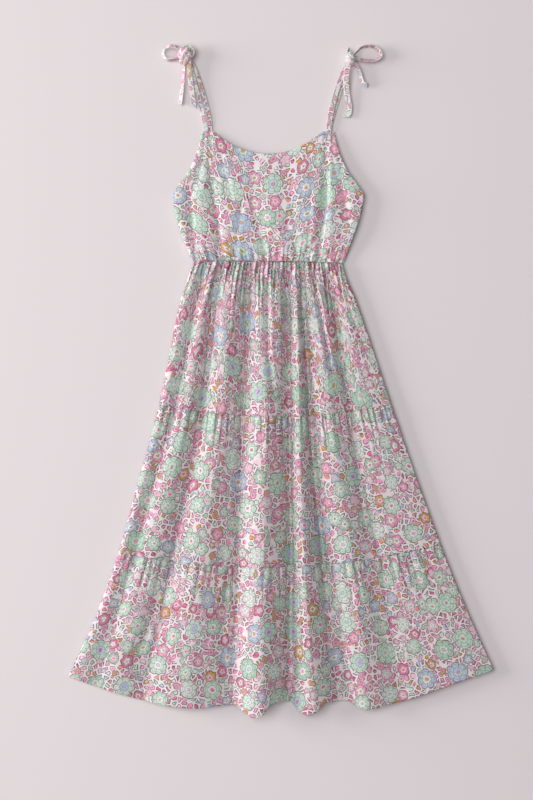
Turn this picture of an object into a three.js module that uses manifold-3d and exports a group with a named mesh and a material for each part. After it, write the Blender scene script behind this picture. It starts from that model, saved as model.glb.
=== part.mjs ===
// A girl's sundress with tied shoulder straps, an elastic waist and a skirt of three gathered tiers.
// It is laid out flat with its front up. Millimetres throughout: X runs to the viewer's right,
// Y from the hem to the shoulders, Z up from the surface. The origin is on the surface, under the
// middle of the waist elastic.
import * as THREE from "three";
import { mergeVertices } from "three/addons/utils/BufferGeometryUtils.js";
import Module from "manifold-3d";

const wasm = await Module();
wasm.setup();

// Cloth and seams
const CLOTH = 1.4;
const SEAM_GAP = 0.4;
const FRONT_BASE = CLOTH + 0.3;
const BACK_INSET = 3;
const WAIST_SEAM = 6;
const SIDE_TURN = 0.004;
const FOLD_FALL = 1.4;

// Bodice
const STRAP_POINT_HEIGHT = 202;
const STRAP_POINT_OUTER = 99;
const STRAP_POINT_INNER = 82;
const FRONT_NECK_HEIGHT = 168.5;
const BACK_NECK_HEIGHT = 150;
const BODICE_TILT = 1.5;
const ARMHOLE_OPEN = 0.85;
const BODICE_GATHERS = { count: 27, height: 2.6, length: 36, seed: 3 };

// Straps and bows
const STRAP_THICKNESS = 2;
const STRAP_EDGE = 0.6;
const SLANT_FROM = 0.8;

// Half width of the bodice up the side seam from the waist to the underarm point.
const SIDE_SEAM = [
  { height: 6, half: 113 },
  { height: 28, half: 122 },
  { height: 60, half: 134 },
  { height: 90, half: 141.5 },
  { height: 107, half: 144.5 },
];

// Half width of the bodice up the armhole from the underarm point to the strap.
const ARMHOLE = [
  { height: 107, half: 144.5 },
  { height: 126, half: 131 },
  { height: 144, half: 118.5 },
  { height: 174, half: 106 },
  { height: 202, half: 99 },
];

// How far the bodice stands off the back at each height: it blouses over the elastic.
const BODICE_LOFT = [
  { height: 6, rise: 2 },
  { height: 30, rise: 6.5 },
  { height: 70, rise: 7.5 },
  { height: 120, rise: 6 },
  { height: 170, rise: 4 },
  { height: 202, rise: 1.5 },
];

// Soft folds of the bodice from left to right, at the waist, the bust and the neckline. Each climbs
// from its own valley line to its crest and falls to its foot at the next valley. The valley is a share
// of the width, the crest a share of the fold, and floor and height are the rise at the valley and crest.
const BODICE_LEVELS = [6, 100, 202];
const BODICE_RIGHT_FLOOR = [0, 1, 0.2];
const BODICE_FOLDS = [
  { valley: [0, 0, 0], floor: [0, 0.5, 0], crest: [0.5, 0.4, 0.5], height: [1, 2.5, 0.6] },
  { valley: [0.028, 0.1, 0.02], floor: [0.5, 1, 0.3], crest: [0.4, 0.42, 0.5], height: [2, 5, 1.2] },
  { valley: [0.19, 0.22, 0.05], floor: [0.8, 0.8, 0.4], crest: [0.4, 0.35, 0.4], height: [1.8, 3.6, 1.4] },
  { valley: [0.49, 0.455, 0.38], floor: [1, 1.3, 1], crest: [0.5, 0.5, 0.5], height: [1.8, 3.8, 1.6] },
  { valley: [0.7, 0.63, 0.64], floor: [1, 1.5, 1], crest: [0.5, 0.6, 0.5], height: [2, 4, 1.4] },
  { valley: [0.83, 0.8, 0.96], floor: [0.5, 0.6, 0.4], crest: [0.4, 0.4, 0.5], height: [2, 5, 0.8] },
  { valley: [0.985, 0.895, 0.985], floor: [0.5, 1.5, 0.3], crest: [0.5, 0.5, 0.5], height: [0.8, 2.6, 0.5] },
];

// Lines across the skirt. Along is 0 at the waist, 1 and 2 at the tier seams and 3 at the hem.
const SKIRT_LINES = [
  { along: 0, leftX: -112, leftY: 6, middleY: 6, rightX: 112, rightY: 6 },
  { along: 0.12, leftX: -121, leftY: -19, middleY: -21, rightX: 119, rightY: -19 },
  { along: 0.3, leftX: -133, leftY: -56, middleY: -62, rightX: 134, rightY: -56 },
  { along: 1, leftX: -164, leftY: -208, middleY: -226, rightX: 185, rightY: -208 },
  { along: 1.5, leftX: -194, leftY: -319, middleY: -338, rightX: 221, rightY: -313 },
  { along: 2, leftX: -225, leftY: -430, middleY: -451, rightX: 259, rightY: -418 },
  { along: 2.5, leftX: -259, leftY: -525, middleY: -552, rightX: 297, rightY: -513 },
  { along: 3, leftX: -300, leftY: -616, middleY: -653, rightX: 339, rightY: -607 },
];

// Main folds of the skirt from left to right, at their levels along the skirt, in the same terms. Where
// a fold has a foot, that is the share of the fold at which it has come down to its floor.
const SKIRT_LEVELS = [0, 0.2, 1, 2, 3];
const SKIRT_RIGHT_FLOOR = [1, 3, 4, 4, 4];
const SKIRT_FOLDS = [
  {
    valley: [0, 0, 0, 0, 0],
    floor: [0, 0, 0, 0, 0],
    crest: [0.5, 0.45, 0.35, 0.35, 0.4],
    height: [2, 5, 5.5, 4.8, 4],
  },
  {
    valley: [0.09, 0.1, 0.07, 0.051, 0.068],
    floor: [1, 2, 2.8, 2.6, 2],
    crest: [0.45, 0.48, 0.5, 0.5, 0.45],
    height: [2, 8, 11, 11, 9],
  },
  {
    valley: [0.18, 0.188, 0.183, 0.168, 0.172],
    floor: [1.5, 1.5, 2, 3, 3.5],
    crest: [0.55, 0.5, 0.52, 0.46, 0.5],
    height: [2.5, 11, 16, 19, 20],
  },
  {
    valley: [0.375, 0.386, 0.364, 0.37, 0.387],
    floor: [1.5, 2, 3, 4.5, 5],
    crest: [0.5, 0.5, 0.5, 0.48, 0.5],
    foot: [1, 1, 1, 1, 0.92],
    height: [2.5, 13, 21, 29, 32],
  },
  {
    valley: [0.645, 0.625, 0.566, 0.539, 0.526],
    floor: [1.5, 2, 2.5, 3, 3],
    crest: [0.6, 0.55, 0.45, 0.4, 0.4],
    foot: [1, 1, 1, 0.98, 0.85],
    height: [2.5, 10.5, 18, 24, 27],
  },
  {
    valley: [0.735, 0.712, 0.652, 0.64, 0.656],
    floor: [1.5, 2, 2.2, 2, 2],
    crest: [0.5, 0.5, 0.5, 0.5, 0.42],
    height: [2.5, 10.5, 17, 20, 21],
  },
  {
    valley: [0.92, 0.896, 0.826, 0.81, 0.78],
    floor: [1.5, 3, 4, 7, 9],
    crest: [0.5, 0.45, 0.35, 0.2, 0.2],
    height: [2, 6.5, 8.5, 10, 11],
  },
];

// How far the side folds of the skirt stand off the back, over and above the main folds.
const SIDE_LOFT = { left: 2.4, leftReach: 0.2, right: 3, rightReach: 0.25 };

// How far the hem hangs below its plain curve: it drops at each fold and rises between them.
const HEM_DROOP = [
  { share: 0, drop: 0 },
  { share: 0.1, drop: 7.5 },
  { share: 0.216, drop: 14.5 },
  { share: 0.31, drop: 13 },
  { share: 0.345, drop: 9 },
  { share: 0.394, drop: 6.5 },
  { share: 0.411, drop: 13.5 },
  { share: 0.439, drop: 22 },
  { share: 0.46, drop: 14.5 },
  { share: 0.474, drop: 2.5 },
  { share: 0.498, drop: 0 },
  { share: 0.523, drop: 1 },
  { share: 0.54, drop: 12 },
  { share: 0.563, drop: 19.5 },
  { share: 0.585, drop: 13.5 },
  { share: 0.596, drop: 5 },
  { share: 0.627, drop: 3.5 },
  { share: 0.662, drop: 6 },
  { share: 0.681, drop: 14 },
  { share: 0.704, drop: 19.5 },
  { share: 0.744, drop: 17 },
  { share: 0.803, drop: 14 },
  { share: 0.92, drop: 2.5 },
  { share: 1, drop: -1 },
];

// Tiers of the skirt with the small gathers under their top seams.
const TIERS = [
  { name: "skirt_tier1", top: 0, gathers: { count: 38, height: 2.2, length: 75, seed: 11 } },
  { name: "skirt_tier2", top: 1, gathers: { count: 36, height: 3.2, length: 64, seed: 23 } },
  { name: "skirt_tier3", top: 2, gathers: { count: 44, height: 3.2, length: 60, seed: 37 } },
];
const TIER_ROWS = [0, 0.035, 0.09, 0.17, 0.3, 0.5, 0.75, 1];
const BODICE_ROWS = [202, 184, 164, 144, 126, 107, 82, 54, 32, 16, 6];
const BACK_TIER_ROWS = [0, 0.25, 0.5, 0.75, 1];
const BACK_BODICE_ROWS = [202, 164, 134, 107, 60, 6];
const BACK_COLUMNS = 12;

// Knots of the two shoulder bows.
const KNOTS = {
  left: { x: -125, y: 313, z: 10.4, radiusX: 11, radiusY: 13, radiusZ: 9.5 },
  right: { x: 124, y: 310.5, z: 10, radiusX: 8.5, radiusY: 12, radiusZ: 9.2 },
};

// Bands of the straps and bows: points along the middle of each [x, y, z], its width and its roll in
// degrees at both ends, 0 lying flat and 90 standing on edge. A tail's end is cut at a slant.
const BANDS = [
  {
    name: "strap_left_front",
    knot: "left",
    width: [8, 8],
    roll: [0, -8],
    path: [
      [-91.5, 202.3, 3.9], [-91.6, 207, 4.3], [-95.5, 225, 5.5], [-102, 250, 6.5], [-109.5, 277, 7.3],
      [-117, 301, 8.6], [-122, 312, 9.6],
    ],
  },
  {
    name: "strap_left_back",
    knot: "left",
    width: [8, 8],
    roll: [0, -8],
    path: [
      [-88, 202.3, 1.4], [-88, 207, 1.5], [-90, 225, 2.2], [-96, 250, 3.1], [-104, 277, 4],
      [-113, 301, 5.2], [-119, 312, 6.6],
    ],
  },
  {
    name: "bow_left_loop",
    knot: "left",
    width: [9, 9],
    roll: [26, 62],
    path: [
      [-128, 320, 11], [-134.5, 325.5, 10.6], [-141, 329.3, 9.8], [-149, 329.3, 8.6],
      [-155.6, 324.6, 7.6], [-157, 317.2, 7.2], [-152.4, 310.9, 7.2], [-145, 309.4, 7.8],
      [-137, 310.6, 8.8], [-128, 312, 10],
    ],
  },
  {
    name: "bow_left_small_loop",
    knot: "left",
    width: [9, 9],
    roll: [58, 50],
    path: [
      [-127, 319, 10.5], [-125.5, 325.5, 10.5], [-121, 328.5, 10.4], [-115.5, 326.5, 10.6],
      [-112.6, 321, 11], [-114, 315.5, 11.2], [-119, 312.5, 11],
    ],
  },
  {
    name: "bow_left_tail_outer",
    knot: "left",
    width: [7, 9],
    slant: -1.5,
    roll: [62, 38],
    path: [
      [-125.5, 309, 7.4], [-126, 293, 6.6], [-127.2, 279, 6.2], [-129, 264, 5.8], [-132, 243, 4.8],
    ],
  },
  {
    name: "bow_left_tail_inner",
    knot: "left",
    width: [7, 10],
    slant: -3,
    roll: [0, 0],
    path: [
      [-118.5, 309, 14.2], [-117, 290, 12.2], [-115, 270, 10.6], [-112.8, 254, 9.8], [-111, 239, 9.2],
    ],
  },
  {
    name: "strap_right_front",
    knot: "right",
    width: [8, 8],
    roll: [0, 8],
    path: [
      [91.5, 202.3, 3.9], [91.5, 207, 4.3], [93, 222, 5.3], [97.5, 242, 6.2], [102.5, 261, 6.9],
      [109.5, 282, 7.6], [117.5, 300, 8.6], [121.5, 309, 9.6],
    ],
  },
  {
    name: "strap_right_back",
    knot: "right",
    width: [8, 8],
    roll: [0, 8],
    path: [
      [92.5, 202.3, 1.4], [92.6, 207, 1.5], [96.5, 225, 2.1], [104.5, 252, 3.1], [111.5, 273, 3.9],
      [119.5, 297, 5], [124, 309, 6.4],
    ],
  },
  {
    name: "bow_right_loop",
    knot: "right",
    width: [9, 9],
    roll: [84, 50],
    path: [
      [127, 314, 11], [134.6, 322.5, 10.5], [141, 327.8, 9.5], [150, 330, 8.5], [159, 329, 7.6],
      [166.5, 324, 7], [170, 316, 6.8], [165, 310, 6.8], [153, 308, 7.4], [141, 309.2, 8.4],
      [128, 314, 10],
    ],
  },
  {
    name: "bow_right_small_loop",
    knot: "right",
    width: [8, 8],
    roll: [78, 78],
    path: [
      [118.5, 313, 10.5], [117.6, 319.5, 10.5], [119, 323.8, 10.2], [122, 325.2, 10],
      [124.8, 323.2, 10], [125.2, 318.5, 10.4], [124.4, 313, 10.5],
    ],
  },
  {
    name: "bow_right_tail_outer",
    knot: "right",
    width: [8, 8],
    slant: 2,
    roll: [62, 50],
    path: [
      [126.5, 307, 9], [133.4, 299, 7.6], [137.6, 291, 6.8], [140, 282, 6.4], [143, 275, 6],
      [149.5, 271, 5.8],
    ],
  },
  {
    name: "bow_right_tail_inner",
    knot: "right",
    width: [9, 9.5],
    slant: 2.5,
    roll: [0, 10],
    path: [
      [122, 307, 13], [118, 289, 11.2], [117.5, 271, 8.6], [119.5, 254, 5.6], [122, 241, 4.2],
      [121.5, 231, 3.6], [117, 223.5, 3.4],
    ],
  },
];

const CLOTH_COLOURS = {
  panel: 0xe3cdd2,
  tier: 0xdfcfd1,
  strap: 0xe0c2cb,
};

// Repeatable number from 0 to 1 for the small differences between one gather and the next.
function scatter(index, seed) {
  const wave = Math.sin(index * 12.9898 + seed * 78.233) * 43758.5453;
  return wave - Math.floor(wave);
}

// Smooth curve through values that are given at rising stations.
function smooth(stations, values, at) {
  const last = stations.length - 1;
  let start = 0;
  while (start < last - 1 && at > stations[start + 1]) start += 1;
  const slope = (i) => {
    const before = Math.max(i - 1, 0);
    const after = Math.min(i + 1, last);
    return (values[after] - values[before]) / (stations[after] - stations[before]);
  };
  const span = stations[start + 1] - stations[start];
  const t = (at - stations[start]) / span;
  const easeIn = t * (1 - t) * (1 - t) * span * slope(start);
  const easeOut = t * t * (t - 1) * span * slope(start + 1);
  const blend = t * t * (3 - 2 * t);
  return values[start] + (values[start + 1] - values[start]) * blend + easeIn + easeOut;
}

// One named column of a table, read at a station between its rows.
function column(table, station, name, at) {
  return smooth(table.map((row) => row[station]), table.map((row) => row[name]), at);
}

// Rise of the main folds at a share of the width and a level: each climbs softly from its valley to its
// crest and falls faster to its foot.
function foldRise(folds, levels, rightFloor, share, level) {
  const at = (values) => smooth(levels, values, level);
  const last = folds.length - 1;
  let i = 0;
  while (i < last && share >= at(folds[i + 1].valley)) i += 1;
  const fold = folds[i];
  const left = at(fold.valley);
  const right = i < last ? at(folds[i + 1].valley) : 1;
  const crest = THREE.MathUtils.lerp(left, right, at(fold.crest));
  const foot = fold.foot ? THREE.MathUtils.lerp(left, right, at(fold.foot)) : right;
  const climb = THREE.MathUtils.clamp((crest - share) / (crest - left), 0, 1);
  const fall = THREE.MathUtils.clamp((share - crest) / (foot - crest), 0, 1);
  const arch = 1 - climb ** 2 - fall ** 2 * (1 + FOLD_FALL * (1 - fall));
  const nextFloor = i < last ? at(folds[i + 1].floor) : at(rightFloor);
  const floor = THREE.MathUtils.lerp(at(fold.floor), nextFloor, (share - left) / (right - left));
  return Math.max(0, THREE.MathUtils.lerp(floor, at(fold.height), arch));
}

// Columns across a gathered panel: a valley and a crest for each gather, with its own height and reach,
// and one close to each side, where the panel turns down to the side seam.
function gatherColumns({ count, seed }) {
  const edges = [];
  for (let i = 0; i <= count; i += 1) {
    const shift = i === 0 || i === count ? 0 : 0.45 * (scatter(i, seed) - 0.5);
    edges.push((i + shift) / count);
  }
  const columns = [];
  for (let i = 0; i < count; i += 1) {
    columns.push({ share: edges[i], height: 0, reach: 1 });
    const height = 0.6 + 0.7 * scatter(i, seed + 1);
    const reach = 0.55 + 0.9 * scatter(i, seed + 2);
    columns.push({ share: (edges[i] + edges[i + 1]) / 2, height, reach });
  }
  columns.splice(1, 0, { share: SIDE_TURN, height: 0, reach: 1 });
  columns.push({ share: 1 - SIDE_TURN, height: 0, reach: 1 }, { share: 1, height: 0, reach: 1 });
  return columns;
}

// Rise of one gather at a distance from its seam: pinched at the seam and dying away.
function gatherRise(gathers, gather, distance) {
  const left = Math.max(0, 1 - distance / (gathers.length * gather.reach));
  const pinch = 0.55 + 0.45 * Math.min(distance / 9, 1);
  return gathers.height * gather.height * pinch * left * left;
}

// Closed wall on rows of points, which run from top to bottom and from left to right. The upper
// face stands off along the cloth's own normal, kept square to the seams in the first and last rows.
function clothWall(rows) {
  const width = rows[0].length;
  const last = rows.length - 1;
  const lower = rows.flat();
  const upper = rows.flatMap((row, r) => row.map((point, c) => {
    const across = row[Math.min(c + 1, width - 1)].clone().sub(row[Math.max(c - 1, 0)]);
    const along = rows[Math.min(r + 1, last)][c].clone().sub(rows[Math.max(r - 1, 0)][c]);
    const normal = along.cross(across);
    if (r === 0 || r === last) normal.y = 0;
    return point.clone().addScaledVector(normal.normalize(), CLOTH);
  }));

  const index = [];
  const quad = (a, b, c, d) => index.push(a, b, c, a, c, d);
  const top = lower.length;
  for (let r = 0; r < last; r += 1) {
    for (let c = 0; c < width - 1; c += 1) {
      const a = r * width + c;
      const b = a + width;
      quad(top + a, top + b, top + b + 1, top + a + 1);
      quad(a, a + 1, b + 1, b);
    }
  }

  const rim = [];
  for (let r = 0; r < last; r += 1) rim.push(r * width);
  for (let c = 0; c < width - 1; c += 1) rim.push(last * width + c);
  for (let r = last; r > 0; r -= 1) rim.push(r * width + width - 1);
  for (let c = width - 1; c > 0; c -= 1) rim.push(c);
  rim.forEach((a, i) => {
    const b = rim[(i + 1) % rim.length];
    quad(a, b, top + b, top + a);
  });

  const geometry = new THREE.BufferGeometry().setFromPoints([...lower, ...upper]);
  geometry.setIndex(index);
  return geometry;
}

// Point on the skirt in plan, at a share of the width and a place along it.
function skirtPlan(share, along, inset) {
  const at = (name) => column(SKIRT_LINES, "along", name, along);
  const edgeY = THREE.MathUtils.lerp(at("leftY"), at("rightY"), share);
  const sag = at("middleY") - (at("leftY") + at("rightY")) / 2;
  const x = THREE.MathUtils.lerp(at("leftX") + inset, at("rightX") - inset, share);
  return new THREE.Vector3(x, edgeY + sag * (1 - (2 * share - 1) ** 2), 0);
}

// Rise of the skirt's front over its seams with the back, before its gathers.
function skirtRise(share, along) {
  const left = 1 - THREE.MathUtils.smoothstep(share, 0, SIDE_LOFT.leftReach);
  const right = THREE.MathUtils.smoothstep(share, 1 - SIDE_LOFT.rightReach, 1);
  const loft = SIDE_LOFT.left * left + SIDE_LOFT.right * right;
  return loft + foldRise(SKIRT_FOLDS, SKIRT_LEVELS, SKIRT_RIGHT_FLOOR, share, along);
}

// A tier's rows of points are drawn in from its seams by half the seam gap.
function seamShift(along, tier) {
  const atTop = along === tier.top ? -SEAM_GAP / 2 : 0;
  const atFoot = along === tier.top + 1 && along < 3 ? SEAM_GAP / 2 : 0;
  return atTop + atFoot;
}

function tierFront(tier) {
  const columns = gatherColumns(tier.gathers);
  const length = skirtPlan(0.5, tier.top, 0).distanceTo(skirtPlan(0.5, tier.top + 1, 0));
  const rows = TIER_ROWS.map((step) => columns.map((gather) => {
    const along = tier.top + step;
    const point = skirtPlan(gather.share, along, 0);
    const droop = column(HEM_DROOP, "share", "drop", gather.share) * Math.max(0, along - 2) ** 2;
    const atSeam = gather.share === 0 || gather.share === 1;
    const rise = skirtRise(gather.share, along) + gatherRise(tier.gathers, gather, step * length);
    point.y += seamShift(along, tier) - droop;
    point.z = FRONT_BASE + (atSeam ? 0 : rise);
    return point;
  }));
  return clothWall(rows);
}

// The back of a tier is plain and lies flat on the surface, a little inside the front's outline.
function tierBack(tier) {
  const rows = BACK_TIER_ROWS.map((step) => {
    const along = tier.top + step;
    const row = [];
    for (let c = 0; c <= BACK_COLUMNS; c += 1) {
      const point = skirtPlan(c / BACK_COLUMNS, along, BACK_INSET);
      point.y += seamShift(along, tier) + (along === 3 ? BACK_INSET : 0);
      row.push(point);
    }
    return row;
  });
  return clothWall(rows);
}

function bodiceHalf(height) {
  const table = height < ARMHOLE[0].height ? SIDE_SEAM : ARMHOLE;
  return column(table, "height", "half", height);
}

// Height of the bodice's top edge: flat at the strap points and a scoop between them.
function necklineHeight(x, neck) {
  const reach = Math.min(Math.abs(x) / STRAP_POINT_INNER, 1);
  return neck + (STRAP_POINT_HEIGHT - neck) * reach * reach;
}

// Place on the bodice in plan: rows follow the side's height and bend towards the neckline.
function bodicePlan(share, sideHeight, neck, inset) {
  const half = bodiceHalf(sideHeight) - inset;
  const topX = (STRAP_POINT_OUTER - inset) * (2 * share - 1);
  const rise = (sideHeight - WAIST_SEAM) / (STRAP_POINT_HEIGHT - WAIST_SEAM);
  const y = WAIST_SEAM + rise * (necklineHeight(topX, neck) - WAIST_SEAM);
  return new THREE.Vector3(half * (2 * share - 1), y, 0);
}

// The side seams lie on the back, and the armhole edges above them stand almost as high as the panel.
function bodiceFront() {
  const columns = gatherColumns(BODICE_GATHERS);
  const rows = BODICE_ROWS.map((height) => columns.map((gather) => {
    const point = bodicePlan(gather.share, height, FRONT_NECK_HEIGHT, 0);
    const tilt = BODICE_TILT * THREE.MathUtils.smoothstep(gather.share, 0, 0.9);
    const lift = THREE.MathUtils.smoothstep(height, WAIST_SEAM, 60);
    const loft = column(BODICE_LOFT, "height", "rise", height) + tilt * lift;
    const folds = foldRise(BODICE_FOLDS, BODICE_LEVELS, BODICE_RIGHT_FLOOR, gather.share, height);
    const atEdge = gather.share === 0 || gather.share === 1;
    const held = atEdge ? ARMHOLE_OPEN * THREE.MathUtils.smoothstep(height, 100, 118) : 1;
    point.z = FRONT_BASE + loft * held + folds + gatherRise(BODICE_GATHERS, gather, height - WAIST_SEAM);
    if (height === WAIST_SEAM) point.y += SEAM_GAP / 2;
    return point;
  }));
  return clothWall(rows);
}

function bodiceBack() {
  const rows = BACK_BODICE_ROWS.map((height) => {
    const row = [];
    for (let c = 0; c <= 2 * BACK_COLUMNS; c += 1) {
      const point = bodicePlan(c / (2 * BACK_COLUMNS), height, BACK_NECK_HEIGHT, BACK_INSET);
      if (height === WAIST_SEAM) point.y += SEAM_GAP / 2;
      row.push(point);
    }
    return row;
  });
  return clothWall(rows);
}

// Flat band swept along its path, with softened edges.
function bandGeometry({ path, roll, width, slant = 0 }) {
  const curve = new THREE.CatmullRomCurve3(path.map(([x, y, z]) => new THREE.Vector3(x, y, z)));
  const steps = path.length * 2;
  const halfThick = STRAP_THICKNESS / 2;
  const points = [];
  for (let i = 0; i <= steps; i += 1) {
    const part = i / steps;
    const halfWidth = THREE.MathUtils.lerp(width[0], width[1], part) / 2;
    const section = [
      [halfWidth, -halfThick + STRAP_EDGE], [halfWidth, halfThick - STRAP_EDGE],
      [halfWidth - STRAP_EDGE, halfThick], [-halfWidth + STRAP_EDGE, halfThick],
      [-halfWidth, halfThick - STRAP_EDGE], [-halfWidth, -halfThick + STRAP_EDGE],
      [-halfWidth + STRAP_EDGE, -halfThick], [halfWidth - STRAP_EDGE, -halfThick],
    ];
    const centre = curve.getPointAt(part);
    const tangent = curve.getTangentAt(part);
    const side = tangent.clone().cross(new THREE.Vector3(0, 0, 1)).normalize();
    const turn = THREE.MathUtils.degToRad(THREE.MathUtils.lerp(roll[0], roll[1], part));
    side.applyAxisAngle(tangent, turn);
    const rise = side.clone().cross(tangent);
    section.forEach(([a, b]) => {
      const ahead = slant * (a / halfWidth) * Math.max(0, part - SLANT_FROM) / (1 - SLANT_FROM);
      const point = centre.clone().addScaledVector(side, a).addScaledVector(rise, b);
      points.push(point.addScaledVector(tangent, ahead));
    });
  }

  const ring = points.length / (steps + 1);
  const index = [];
  for (let i = 0; i < steps; i += 1) {
    for (let k = 0; k < ring; k += 1) {
      const a = i * ring + k;
      const b = i * ring + (k + 1) % ring;
      index.push(a, a + ring, b + ring, a, b + ring, b);
    }
  }
  for (let k = 1; k < ring - 1; k += 1) {
    index.push(0, k, k + 1);
    index.push(steps * ring, steps * ring + k + 1, steps * ring + k);
  }
  const geometry = new THREE.BufferGeometry().setFromPoints(points);
  geometry.setIndex(index);
  return geometry;
}

// A knot is a rounded lump; grown by the seam gap it is also what the bands are cut back to.
function knotGeometry(knot, growth) {
  const ball = new THREE.SphereGeometry(1, 18, 12);
  ball.deleteAttribute("normal");
  ball.deleteAttribute("uv");
  ball.scale(knot.radiusX + growth, knot.radiusY + growth, knot.radiusZ + growth);
  ball.translate(knot.x, knot.y, knot.z);
  return mergeVertices(ball, 1e-4);
}

function toManifold(geometry) {
  return new wasm.Manifold(new wasm.Mesh({
    numProp: 3,
    vertProperties: new Float32Array(geometry.attributes.position.array),
    triVerts: new Uint32Array(geometry.index.array),
  }));
}

function cutBand(band) {
  const cut = toManifold(bandGeometry(band)).subtract(toManifold(knotGeometry(KNOTS[band.knot], SEAM_GAP)));
  const { vertProperties, triVerts } = cut.getMesh();
  const geometry = new THREE.BufferGeometry();
  geometry.setAttribute("position", new THREE.BufferAttribute(vertProperties, 3));
  geometry.setIndex(new THREE.BufferAttribute(triVerts, 1));
  return geometry;
}

const dress = new THREE.Group();
dress.name = "sundress";

function addPiece(name, geometry, color) {
  const material = new THREE.MeshStandardMaterial({ color, roughness: 0.9, metalness: 0 });
  const mesh = new THREE.Mesh(geometry, material);
  mesh.name = name;
  dress.add(mesh);
}

addPiece("bodice_front", bodiceFront(), CLOTH_COLOURS.panel);
addPiece("bodice_back", bodiceBack(), CLOTH_COLOURS.panel);
TIERS.forEach((tier) => {
  addPiece(`${tier.name}_front`, tierFront(tier), CLOTH_COLOURS.tier);
  addPiece(`${tier.name}_back`, tierBack(tier), CLOTH_COLOURS.tier);
});
Object.entries(KNOTS).forEach(([side, knot]) => {
  addPiece(`bow_${side}_knot`, knotGeometry(knot, 0), CLOTH_COLOURS.strap);
});
BANDS.forEach((band) => addPiece(band.name, cutBand(band), CLOTH_COLOURS.strap));

export default dress;
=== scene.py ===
# %% [markdown]
# # A tiered sundress, laid out flat
#
# The dress lies on its back with its front up: a plain bodice with tied straps, an elastic waist and three
# gathered tiers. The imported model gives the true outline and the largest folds. Here each panel gets a thin
# shell of cloth on the same lines, with its gathers, creases and print.

import math

import bmesh
import bpy
import numpy as np
from mathutils import Matrix, Vector, noise


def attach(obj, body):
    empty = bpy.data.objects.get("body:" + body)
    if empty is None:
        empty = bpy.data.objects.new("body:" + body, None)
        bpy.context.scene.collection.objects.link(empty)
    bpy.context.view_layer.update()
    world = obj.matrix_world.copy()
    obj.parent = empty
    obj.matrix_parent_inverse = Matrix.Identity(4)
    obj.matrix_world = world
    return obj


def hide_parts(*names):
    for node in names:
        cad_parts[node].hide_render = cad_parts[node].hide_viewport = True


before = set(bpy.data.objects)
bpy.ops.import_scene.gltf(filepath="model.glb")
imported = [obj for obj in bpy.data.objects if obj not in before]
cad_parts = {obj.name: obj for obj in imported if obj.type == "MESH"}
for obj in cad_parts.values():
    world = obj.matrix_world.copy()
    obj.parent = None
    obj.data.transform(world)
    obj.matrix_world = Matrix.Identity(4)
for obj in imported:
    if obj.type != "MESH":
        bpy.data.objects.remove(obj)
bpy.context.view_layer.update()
MM = 0.001
print("nodes in the frame:", len(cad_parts))

# %% [markdown]
# ## Camera
#
# The picture is taken from straight in front of the dress, so over a dress that lies flat the camera looks
# straight down. One pixel of the 533 by 800 picture is 1.5 mm on the surface, which fixes the lens once the
# camera's height is chosen. A long lens keeps the sides of the folds from leaning outwards.

# %% Camera
PIXEL = 1.5 * MM
IMAGE_HEIGHT = 800
CAMERA_HEIGHT = 2.8
PICTURE_CENTRE = Vector((-2.2 * MM, -201 * MM, 8 * MM))

camera_data = bpy.data.cameras.new("camera")
camera_data.sensor_width = 36
camera_data.lens = camera_data.sensor_width * CAMERA_HEIGHT / (PIXEL * IMAGE_HEIGHT)
camera = bpy.data.objects.new("camera", camera_data)
camera.location = PICTURE_CENTRE + Vector((0, 0, CAMERA_HEIGHT))
bpy.context.collection.objects.link(camera)
bpy.context.scene.camera = camera
print("lens", round(camera_data.lens, 1), "mm")

# %% [markdown]
# ## Floor and light
#
# A pale floor and two large soft lamps, as in a small studio. The low one, far to the left, makes the left
# side of each fold bright and lets the right side fall into shade. The high one, nearly overhead, keeps the
# shadow on the floor light and soft. One lamp alone would leave the folds flat or their shade too dark. The
# world adds an even fill, so no shade is black.

# %% Colours in screen values
def screen(red, green, blue, alpha=1.0):
    """A colour given in the 0 to 255 values of a screen, as the linear values that Blender mixes in."""
    def linear(value):
        value /= 255
        return value / 12.92 if value <= 0.04045 else ((value + 0.055) / 1.055) ** 2.4
    return (linear(red), linear(green), linear(blue), alpha)


# %% Floor
FLOOR_SIZE = 12.0
floor_mesh = bpy.data.meshes.new("floor")
bm = bmesh.new()
bmesh.ops.create_grid(bm, x_segments=1, y_segments=1, size=FLOOR_SIZE / 2)
bm.to_mesh(floor_mesh)
bm.free()
floor = bpy.data.objects.new("floor", floor_mesh)
bpy.context.collection.objects.link(floor)
floor_paint = bpy.data.materials.new("floor_paint")
floor_paint.use_nodes = True
floor_shader = floor_paint.node_tree.nodes["Principled BSDF"]
floor_shader.inputs["Base Color"].default_value = screen(228, 221, 223)
floor_shader.inputs["Roughness"].default_value = 0.95
floor_shader.inputs["Specular IOR Level"].default_value = 0.1
floor_mesh.materials.append(floor_paint)
print("floor", FLOOR_SIZE, "m wide")

# %% Light
LAMPS = {
    "low_window": dict(place=Vector((-4.4, 0.3, 1.15)), size=2.2, power=194),
    "high_softbox": dict(place=Vector((-1.6, 0.2, 4.9)), size=3.5, power=163),
}
for name, lamp in LAMPS.items():
    lamp_data = bpy.data.lights.new(name, "AREA")
    lamp_data.energy = lamp["power"]
    lamp_data.size = lamp["size"]
    lamp_data.color = (1.0, 0.985, 0.985)
    light = bpy.data.objects.new(name, lamp_data)
    light.location = lamp["place"]
    light.rotation_euler = (PICTURE_CENTRE - lamp["place"]).to_track_quat("-Z", "Y").to_euler()
    bpy.context.collection.objects.link(light)

world = bpy.data.worlds.new("studio")
world.use_nodes = True
world.node_tree.nodes["Background"].inputs["Color"].default_value = (1.0, 0.985, 0.99, 1)
world.node_tree.nodes["Background"].inputs["Strength"].default_value = 0.2
bpy.context.scene.world = world
bpy.context.scene.view_settings.view_transform = "Standard"
print("lamps:", ", ".join(LAMPS))

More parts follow.
